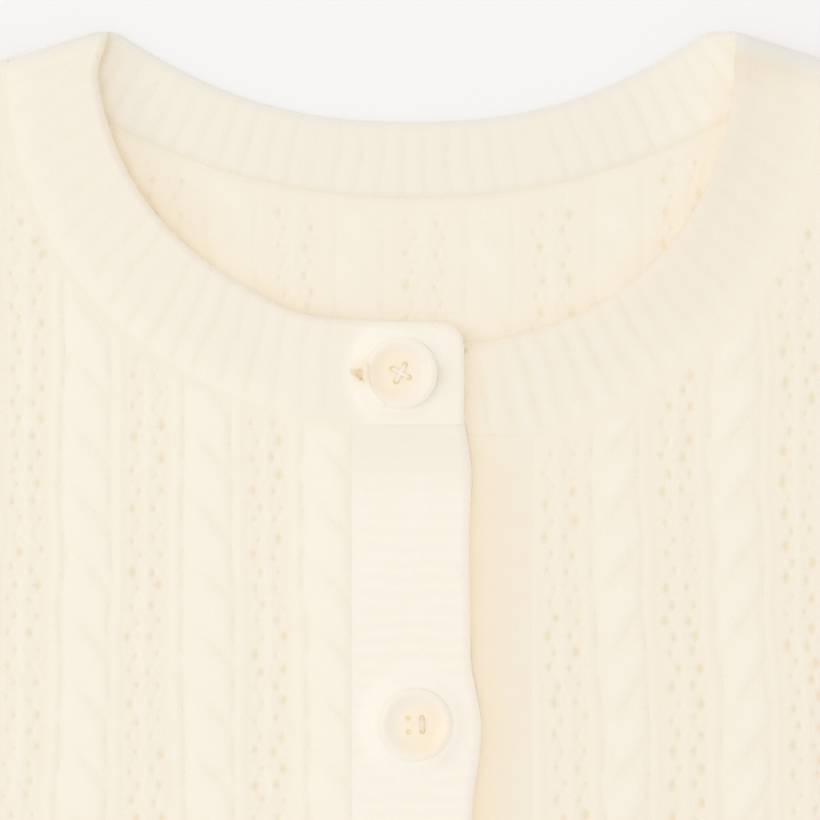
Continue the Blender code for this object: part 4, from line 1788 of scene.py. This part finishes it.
class Vest:
    """The whole vest: its cut, its layers and its finishes."""

    BACK_SWELL = (Fade(15 * MM, 60 * MM, 0.0, 0.4 * MM), Fade(48 * MM, 64 * MM, 0.0, 0.9 * MM))
    BACK_SINK = 0.4 * MM
    REST_SINK = 1.1 * MM
    TOP_BAND_SINK = 0.15 * MM
    BUTTON_SINK = 0.2 * MM
    # Painted shade along the back's neck seam, where it drops.
    BACK_SEAM = {"seam_drop": 0.34 * MM, "seam_reach": 1.9 * MM, "seam_painted_shade": 0.14}
    # Where the ribs of the back neckband meet its seam, at shares of the way to the shoulder.
    BACK_RIBS_AT = ((0.0, 0.0), (0.35, 27 * MM), (0.8, 61 * MM), (0.92, 72 * MM))
    TAB_THICKENS = -1.5
    CORNER_REACH = 0.9999
    CORNER_FALL = 0.9
    TAB_ROOM = 1 * MM
    # Each button's spot of painted shade in its dish, and its thread's painted shade.
    SEWN = (
        Sewing(17, -4, (-1.6 * MM, 0.5 * MM), crossed=True, shade=0.1),
        Sewing(2, -2, (1.2 * MM, -1.2 * MM)),
        Sewing(-34, 2),
        Sewing(21, -3, (0.6 * MM, 0.5 * MM)),
    )

    def __init__(self) -> None:
        """Takes the frame's top edge as the cutting sheet's zero height."""
        self.cut, self.layers, self.spacing = Cut(), Layers(), Spacing()
        self.light, self.tones = NeckLight(), Tones()
        self.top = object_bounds()[1].y
        self.yarn = KnitYarn().material()
        self.resin = ButtonResin().material()
        self.swell = Ripple(38 * MM, 0.18 * MM, 11)
        self.ribs = Ribbing()
        self.neck_ribs = Ribbing(pitch=5 * MM, height=0.24 * MM)
        self.back_ribs = Ribbing(pitch=4.5 * MM, height=0.33 * MM)
        self.faint_ribs = Ribbing(pitch=3.2 * MM, height=0.1 * MM, roundness=1.0)
        self.tab_hole = Buttonhole(
            self.cut.buttons()[0], lips=(Lip(166, 244, 7.1 * MM, 2.75 * MM),),
            open_end=11.1 * MM, low_at=-5.0, low_by=1.0)
        self.holes = tuple(Buttonhole(spot) for spot in self.cut.buttons()[1:])
        self.edges = {side: Nearness(side.placed(self.cut.neck_free(side)), closed=False)
                      for side in Side}
        self.knits = {
            Side.RIGHT: CableField(
                first=-18.2 * MM, pitch=24.7 * MM, lean=1.5 * MM, spread=0.048, hand=1,
                cable_starts=(0.5, 0.4, 0.62, 0.34, 0.5), eyelet_starts=(0.2, 0.34, 0.49, 0.98)),
            Side.LEFT: CableField(
                first=41.1 * MM, pitch=24.6 * MM, lean=2.5 * MM, spread=0.0, hand=-1,
                cable_starts=(0.48, 0.28, 0.6, 0.4), eyelet_starts=(0.97, 0.72, 0.3, 0.45),
                eyelet_shift=0.7 * MM),
        }
        self.inner_knit = CableField(
            first=15.2 * MM, pitch=26.6 * MM, lean=0.0, spread=0.0, hand=1,
            cable_starts=(0.2, 0.6), eyelet_starts=(0.1, 0.5, 0.8), strength=0.5,
            groove=0.2 * MM, rib_height=0.2 * MM, openwork=Openwork(column=2.9 * MM))

    def dress(self, piece: bpy.types.Object, node: str) -> None:
        """Puts a knitted piece in its node's place and logs its triangle count.

        Args:
            piece: The piece.
            node: The node that it replaces.
        """
        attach(piece, "root")
        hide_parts(node)
        triangles = sum(len(face.vertices) - 2 for face in piece.data.polygons)
        LOG.info("%s: %d triangles", node, triangles)

    def strip(self, node: str, free: Line, seam: Line, under: Field, top: Field,
              rests_on: list[str], **settings: Any) -> None:
        """Builds a strip of knit and puts it in its node's place.

        Args:
            node: The node that it replaces.
            free: Its free edge, a point for each station.
            seam: Its seam, a point for each station.
            under: Its underside.
            top: Its face.
            rests_on: Nodes under it; not used.
            settings: Other fields of Strip.
        """
        strip = Strip(f"{node}_knit", free, seam, under, top, self.top, **settings)
        piece = strip.build(self.yarn)
        width = float(np.linalg.norm(seam - free, axis=1).mean())
        self.dress(piece, node)

    def panel(self, node: str, rim: Line, rests_on: list[str], **settings: Any) -> None:
        """Builds a panel of knit and puts it in its node's place.

        Args:
            node: The node that it replaces.
            rim: Its outline.
            rests_on: Nodes under it; not used.
            settings: Other fields of Panel.
        """
        piece = Panel(name=f"{node}_knit", rim=rim, rest_top=self.top, **settings).build(self.yarn)
        self.dress(piece, node)

    def swelling(self, base: Field) -> Field:
        """A surface with the cloth's own soft swell on it."""
        return lambda x, y: base(x, y) + self.swell.at(x, y)

    def back_lift(self, height: float) -> Field:
        """Upper face of the back, which swells up to the neckband on the wearer's left."""
        return lambda x, y: height + sum(swell.at(x) for swell in self.BACK_SWELL)

    def back_face(self, x: np.ndarray, y: np.ndarray) -> np.ndarray:
        """Just under the back's upper face, where the front neck's free edge comes down on it."""
        return self.swelling(self.back_lift(self.layers.back_layer - self.REST_SINK))(x, y)

    def tab_rest(self, x: np.ndarray, y: np.ndarray) -> np.ndarray:
        """Where the edge of the right neckband rests: on the left one, or else on the back."""
        over = (x > self.cut.under_band[0] - self.TAB_ROOM) & (y < -self.cut.neck_drop_left)
        return np.where(over, self.layers.front_under + self.layers.cloth, self.back_face(x, y))

    def beside(self, side: Side, x: np.ndarray, y: np.ndarray) -> np.ndarray:
        """Distance of plan points from the free edge of a front's neckband."""
        points = np.column_stack([np.ravel(x), np.ravel(y)])
        return self.edges[side].of(points).reshape(np.shape(x))

    def inner_shade(self, x: np.ndarray, y: np.ndarray) -> np.ndarray:
        """Tells how much painted shade the back has beside the front neck's free edge.

        Args:
            x: Distance to the wearer's left.
            y: Height on the cutting sheet.

        Returns:
            A share to add to the painted shade.
        """
        light = self.light
        away = self.beside(Side.RIGHT, x, y)
        soft = light.soft_shade.at(y) * np.clip(1 - away / light.soft_reach.at(y), 0.0, 1.0)
        return soft + light.edge_shade.at(y) * light.edge_line.at(away)

    def inner_glow(self, x: np.ndarray, y: np.ndarray) -> np.ndarray:
        """Tells how much painted warm light, less cooler painted shade high up, the back has beside
        the front neck's free edges.

        Args:
            x: Distance to the wearer's left.
            y: Height on the cutting sheet.

        Returns:
            A share to add to the painted light.
        """
        light = self.light
        away = self.beside(Side.RIGHT, x, y)
        right = light.right_glow.at(away) * light.right_glow_from.at(x)
        right -= light.corner_cool.at(away) * light.corner_cool_from.at(y)
        deep = light.left_below.at(y) * light.left_above.at(y)
        left = light.left_least + (light.left_most - light.left_least) * deep
        return right + left * light.left_glow.at(self.beside(Side.LEFT, x, y))

    def placket_glow(self, x: np.ndarray, y: np.ndarray) -> np.ndarray:
        """Painted warm light on the under band beside the free edge of the band on top."""
        return self.light.placket.at(x - self.cut.top_band[1] - self.cut.sway(y))

    def left_edge(self, x: np.ndarray, y: np.ndarray) -> np.ndarray:
        """Share of the painted shade of the left neckband's rolled edge, which shows high up, at each
        place.
        """
        return self.tones.left_edge.at(self.beside(Side.LEFT, x, y)) * self.tones.left_edge_from.at(y)

    def build_fronts(self) -> None:
        """Builds both fronts, with their cables, ribs and openwork."""
        tones = {Side.RIGHT: self.tones.right_front, Side.LEFT: self.tones.left_front}
        for side in Side:
            under = self.layers.under_front(side)
            self.panel(f"front_{side.word}", self.cut.front_rim(side, self.spacing.front_rim),
                       ["back_panel"], neck=side.placed(self.cut.neck_seam(side)), under=under,
                       top=self.swelling(raised(under, self.layers.cloth)),
                       knit=self.knits[side], warmth=level(tones[side]),
                       fold=side.placed(self.cut.shoulder_line()))

    def build_back(self) -> None:
        """Builds the back, whose inner face shows inside the neck."""
        top = self.swelling(self.back_lift(self.layers.back_layer - self.BACK_SINK))
        self.panel("back_panel", self.cut.back_rim(self.spacing.back_rim), [],
                   neck=self.cut.back_neck_seam(), under=level(0.0), top=top, knit=self.inner_knit,
                   warmth=lambda x, y: self.tones.back + self.inner_shade(x, y),
                   bounce=self.inner_glow, eyelet_tint=0.2, eyelet_glow=0.2,
                   dense=(-78 * MM, -100 * MM, 78 * MM, 0.0), neck_fade=6 * MM, **self.BACK_SEAM)

    def build_back_neckband(self) -> None:
        """Builds the ribbed neckband across the back."""
        cut, tones = self.cut, self.tones
        free, seam = cut.back_neck_free(), cut.back_neck_seam()
        length = arc_lengths(0.5 * (free + seam))[-1]
        free = sampled(free, stations(length, self.spacing.neckband, (True, True)))
        shares, places = zip(*self.BACK_RIBS_AT, (1.0, cut.neck_seam_half))
        reach = np.interp(np.abs(free[:, 0]) / cut.neck_half, shares, places)
        seam_x = np.sign(free[:, 0]) * reach
        seam = np.column_stack([seam_x, np.interp(seam_x, seam[::-1, 0], seam[::-1, 1])])
        self.strip("neckband_back", free, seam, level(0.0),
                   self.swelling(self.back_lift(self.layers.back_cloth)), [],
                   ribs=self.back_ribs, ribbed=length,
                   shown=((Measure.ACROSS, Fade(0.0, 6 * MM, 0.3, 0.8)),),
                   warmth=lambda x, y: tones.back_band.at(x) + self.inner_shade(x, y),
                   bounce=lambda x, y: tones.back_band_light.at(x) + self.inner_glow(x, y),
                   cool=(0.38, 0.0), free_ends=(True, True), free_radius=2.4 * MM, **self.BACK_SEAM)

    def tab_rails(self) -> tuple[Line, Line]:
        """Draws the plain tab that ends the right neckband, its upper corner rounded.

        Returns:
            Its upper and lower edges, towards +X.
        """
        cut = self.cut
        start, corner = -cut.front_edge(Side.RIGHT), cut.tab_corner
        end = cut.top_band[1] + float(cut.sway(-cut.neck_drop_right))
        x = start + (end - start) * stations(end - start, self.spacing.tab, (False, True))[1:]
        turn = np.clip(x - (end - corner), 0.0, self.CORNER_REACH * corner)
        fall = np.minimum(corner - np.sqrt(corner ** 2 - turn ** 2), self.CORNER_FALL * corner)
        edge = cut.neck_free(Side.RIGHT)
        upper = np.interp(np.maximum(0.0, -x), edge[::-1, 0], edge[::-1, 1]) - fall
        lower = np.full(len(x), cut.seam_foot(Side.RIGHT))
        return np.column_stack([x, upper]), np.column_stack([x, lower])

    def build_right_neckband(self) -> None:
        """Builds the right stretch of the neckband, which ends in the plain tab on top."""
        cut, layers, tones, hole = self.cut, self.layers, self.tones, self.tab_hole
        middle = cut.front_edge(Side.RIGHT)
        even = np.linspace(0.0, 1.0, self.spacing.rails)
        free, seam = (sampled(line[line[:, 0] > middle], even)
                      for line in (cut.neck_free(Side.RIGHT), cut.neck_seam(Side.RIGHT)))
        ribbed = arc_lengths(0.5 * (free + seam))[-1]
        at = stations(ribbed, self.spacing.neckband, (True, False))
        free, seam = (np.vstack([mirrored(sampled(line, at)), tab])
                      for line, tab in zip((free, seam), self.tab_rails()))
        under = layers.under_front(Side.RIGHT)
        thickness = Fade(self.TAB_THICKENS * middle, 0.0, layers.cloth, layers.top_cloth)
        self.strip("neckband_right", free, seam, under,
                   self.swelling(lambda x, y: under(x, y) + thickness.at(x)),
                   ["neckband_left", "back_panel"], ribs=self.neck_ribs, ribbed=ribbed,
                   shown=((Measure.ALONG, Fade(ribbed, ribbed - 8 * MM)),
                          (Measure.ALONG, Fade(25 * MM, 70 * MM, 0.3, 1.0)),
                          (Measure.ACROSS, Fade(0.0, 3 * MM, 0.5, 1.0))),
                   holes=(hole,), warmth=lambda x, y: tones.tab.at(x / middle) + hole.shade(x, y),
                   bounce=lambda x, y: hole.slit_painted_glow(x, y) + tones.tab_light.at(x / middle)
                   + tones.right_band_light.at(x) * tones.right_band_until.at(x),
                   cool=(0.0, 0.45), cool_reach=(2.4 * MM, 3.2 * MM), next_warmth=tones.right_front,
                   free_ends=(True, True), free_radius=1.9 * MM, rest=self.tab_rest,
                   spacing=self.spacing.tab_across)

    def build_left_neckband(self) -> None:
        """Builds the left stretch of the neckband, which passes under the tab."""
        cut, layers, tones = self.cut, self.layers, self.tones
        end = cut.under_band[0]
        seam = cut.neck_seam(Side.LEFT)
        seam = seam[seam[:, 0] >= cut.front_edge(Side.LEFT)]
        rails = (np.vstack([cut.neck_free(Side.LEFT), (end, -cut.neck_drop_left)]),
                 np.vstack([seam, (end, cut.seam_foot(Side.LEFT))]))
        even = np.linspace(0.0, 1.0, self.spacing.rails)
        free, seam = (sampled(line, even) for line in rails)
        length = arc_lengths(0.5 * (free + seam))[-1]
        at = stations(length, self.spacing.neckband, (True, True))
        clear = cut.top_band[1] + self.TAB_ROOM
        self.strip("neckband_left", sampled(free, at), sampled(seam, at), level(layers.front_under),
                   self.swelling(level(layers.front_under + layers.cloth)), ["back_panel"],
                   ribs=self.neck_ribs, ribbed=length,
                   shown=((Measure.X, Fade(clear, clear + 1.5 * MM)),
                          (Measure.ALONG, Fade(45 * MM, 80 * MM, 0.5, 1.05)),
                          (Measure.ACROSS, Fade(0.0, 3 * MM, 0.5, 1.0))),
                   warmth=lambda x, y: tones.left_band.at(y) + tones.left_shoulder.at(y)
                   + tones.left_edge_painted_shade * self.left_edge(x, y),
                   bounce=lambda x, y: self.placket_glow(x, y) + tones.left_band_light
                   + tones.left_edge_light * self.left_edge(x, y),
                   cool=(0.0, 0.75), cool_reach=(2.4 * MM, 7 * MM), next_warmth=tones.left_front,
                   free_ends=(True, True), free_radius=3.4 * MM, rest=self.back_face)

    def down_to_foot(self, start: float, spacing: float) -> np.ndarray:
        """Heights from the upper end of a front band down to the vest's foot."""
        drop = start + self.cut.length
        return start - drop * stations(drop, spacing, (False, True))

    def build_button_band(self) -> None:
        """Builds the button band underneath."""
        cut, tones = self.cut, self.tones
        foot = cut.seam_foot(Side.LEFT)
        y = self.down_to_foot(foot, self.spacing.under_band)
        free, seam = (np.column_stack([np.full(len(y), x), y]) for x in cut.under_band)
        under = level(self.layers.front_under)
        self.strip("button_band", free, seam, under,
                   self.swelling(raised(under, self.layers.cloth)), ["back_panel"],
                   warmth=lambda x, y: tones.under_band.at(x) + tones.under_band_top.at(y - foot),
                   bounce=lambda x, y: self.placket_glow(x, y)
                   + tones.under_band_top_light.at(y - foot), free_ends=(False, True))

    def build_buttonhole_band(self) -> None:
        """Builds the buttonhole band on top, whose free edge sways."""
        cut, layers, tones = self.cut, self.layers, self.tones
        foot = cut.seam_foot(Side.RIGHT)
        y = self.down_to_foot(foot, self.spacing.top_band)
        free = np.column_stack([cut.top_band[1] + cut.sway(y), y])
        seam = np.column_stack([np.full(len(y), cut.top_band[0]), y])
        under = level(layers.top_under)
        top = self.swelling(raised(under, layers.top_cloth - self.TOP_BAND_SINK))
        self.strip("buttonhole_band", free, seam, under, top, ["button_band"],
                   ribs=self.faint_ribs, ribbed=foot + cut.length, holes=self.holes,
                   warmth=lambda x, y: tones.top_band.at(y - foot),
                   bounce=lambda x, y: tones.top_band_light.at(y - foot),
                   free_ends=(False, True), free_radius=2.1 * MM,
                   rest=level(layers.front_under + layers.cloth),
                   spacing=self.spacing.top_band_across)

    def build_armbands(self) -> None:
        """Builds the ribbed bands round both armholes, a front and a back stretch on each."""
        cut, layers = self.cut, self.layers
        for layer, base, cloth in ((Layer.FRONT, layers.front_under, layers.cloth),
                                   (Layer.BACK, 0.0, layers.back_cloth)):
            seam = cut.armhole_seam(layer)
            free = offset(seam, cut.armband)
            free[0, 1] = float(cut.shoulder_y(free[0, 0]))
            free[-1] = (cut.chest_half, -cut.armhole_depth + cut.armband)
            length = arc_lengths(0.5 * (free + seam))[-1]
            at = stations(length, self.spacing.armband, (True, True))
            free, seam = sampled(free, at), sampled(seam, at)
            for side in Side:
                self.strip(f"armband_{side.word}_{layer.value}", side.placed(free), side.placed(seam),
                           level(base), level(base + cloth), [], ribs=self.ribs, ribbed=length,
                           free_ends=(True, True))

    def hem_strip(self, node: str, span: tuple[float, float], spacing: float, under: Field,
                  top: Field, rests_on: list[str]) -> None:
        """Builds one ribbed hem, which draws in towards its inner end.

        Args:
            node: The node that it replaces.
            span: X of its ends.
            spacing: Distance between its stations.
            under: Its underside.
            top: Its face.
            rests_on: Nodes under it.
        """
        cut = self.cut
        length = span[1] - span[0]
        ends = tuple(abs(end) == cut.hem_half for end in span)
        x = span[0] + length * stations(length, spacing, ends)
        inner = 0.0 if all(ends) else min(span, key=abs)
        free = np.column_stack([inner + (x - inner) * cut.hem_draw, np.full(len(x), -cut.length)])
        seam = np.column_stack([x, np.full(len(x), cut.hem - cut.length)])
        self.strip(node, free, seam, under, top, rests_on, ribs=self.ribs, ribbed=length,
                   free_ends=ends)

    def build_hems(self) -> None:
        """Builds the ribbed hem of the back and of both fronts."""
        cut, layers, spacing = self.cut, self.layers, self.spacing
        self.hem_strip("hem_back", (-cut.hem_half, cut.hem_half), spacing.back_hem, level(0.0),
                       level(layers.back_cloth), [])
        for side, span in ((Side.RIGHT, (-cut.hem_half, cut.top_band[0])),
                           (Side.LEFT, (cut.under_band[1], cut.hem_half))):
            under = layers.under_front(side)
            top = self.swelling(raised(under, layers.cloth))
            self.hem_strip(f"hem_{side.word}", span, spacing.front_hem, under, top, ["hem_back"])

    def build_buttons(self) -> None:
        """Sews on the buttons, each turned and tilted in its own way."""
        pattern = SewnButton()
        model = pattern.model(self.resin)
        height = self.layers.top_under + self.layers.top_cloth - self.BUTTON_SINK
        for i, ((x, y), sewn) in enumerate(zip(self.cut.buttons(), self.SEWN), start=1):
            button = model.copy()
            button.data = model.data.copy()
            button.name = f"button_{i}_resin"
            bpy.context.scene.collection.objects.link(button)
            pattern.tint(button, sewn.warm)
            thread = pattern.thread(f"button_{i}_thread", self.yarn, sewn.crossed, sewn.shade)
            for piece in (button, thread):
                piece.rotation_mode = "ZYX"
                piece.rotation_euler = (0.0, math.radians(sewn.tilt), math.radians(sewn.turn))
                piece.location = (x, y + self.top, height)
                settle(piece)
                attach(piece, "root")
            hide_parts(f"button_{i}")
            LOG.info("button_%d: %d faces", i, len(button.data.polygons))
        bpy.data.objects.remove(model)

    def build(self) -> None:
        """Builds every piece, from the back up to the buttons."""
        for step in (self.build_back, self.build_fronts, self.build_back_neckband,
                     self.build_right_neckband, self.build_left_neckband, self.build_button_band,
                     self.build_buttonhole_band, self.build_armbands, self.build_hems,
                     self.build_buttons):
            step()
            LOG.info("%s done", step.__name__)


@dataclass(frozen=True)
class Studio:
    """The light table, the soft light from the left, and the camera straight above."""

    table_size: float = 3.0
    table_drop: float = 0.1 * MM
    view_width: float = 169.7 * MM
    middle: tuple[float, float] = (-1.04 * MM, 84.3 * MM)
    lens: float = 200.0
    sensor: float = 36.0
    key_size: float = 1.1
    key_place: tuple[float, float, float] = (-1.1, 0.3, 0.9)
    key_watts: float = 2.2
    sky: str = "#ffffff"
    sky_strength: float = 0.966

    def build_table(self) -> None:
        """Makes the light table, just under the vest."""
        bpy.ops.object.select_all(action="DESELECT")
        bpy.ops.mesh.primitive_plane_add(size=self.table_size, location=(0.0, 0.0, -self.table_drop))
        table = bpy.context.object
        table.name = "light_table"
        bpy.ops.object.transform_apply(location=True)
        table.data.materials.append(LightTable().material())
        table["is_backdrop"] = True

    def build_light(self) -> None:
        """Makes the even room light and the soft box."""
        scene = bpy.context.scene
        world = bpy.data.worlds.new("soft_room")
        world.use_nodes = True
        sky = world.node_tree.nodes["Background"]
        sky.inputs["Color"].default_value = linear(self.sky)
        sky.inputs["Strength"].default_value = self.sky_strength
        scene.world = world
        lamp = bpy.data.lights.new("key_softbox", "AREA")
        lamp.size = self.key_size
        lamp.energy = self.key_watts
        key = bpy.data.objects.new("key_softbox", lamp)
        key.location = self.key_place
        aim = Vector((*self.middle, 0.0)) - key.location
        key.rotation_euler = aim.to_track_quat("-Z", "Y").to_euler()
        scene.collection.objects.link(key)

    def build_camera(self) -> None:
        """Makes the camera, straight above the middle of the view."""
        scene = bpy.context.scene
        scene.view_settings.view_transform = "Standard"
        lens = bpy.data.cameras.new("long_lens")
        lens.lens = self.lens
        lens.sensor_width = self.sensor
        camera = bpy.data.objects.new("camera", lens)
        camera.location = (*self.middle, self.view_width * self.lens / self.sensor)
        scene.collection.objects.link(camera)
        scene.camera = camera


def corners(box: tuple[Vector, Vector]) -> list[list[float]]:
    """A box as plain lists of numbers."""
    return [list(corner) for corner in box]


def main() -> None:
    """Builds the vest's looks round its frame, piece by piece."""
    logging.basicConfig(level=logging.INFO, format="%(name)s: %(message)s")
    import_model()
    Vest().build()
    studio = Studio()
    studio.build_table()
    studio.build_light()
    studio.build_camera()


if __name__ == "__main__":
    main()
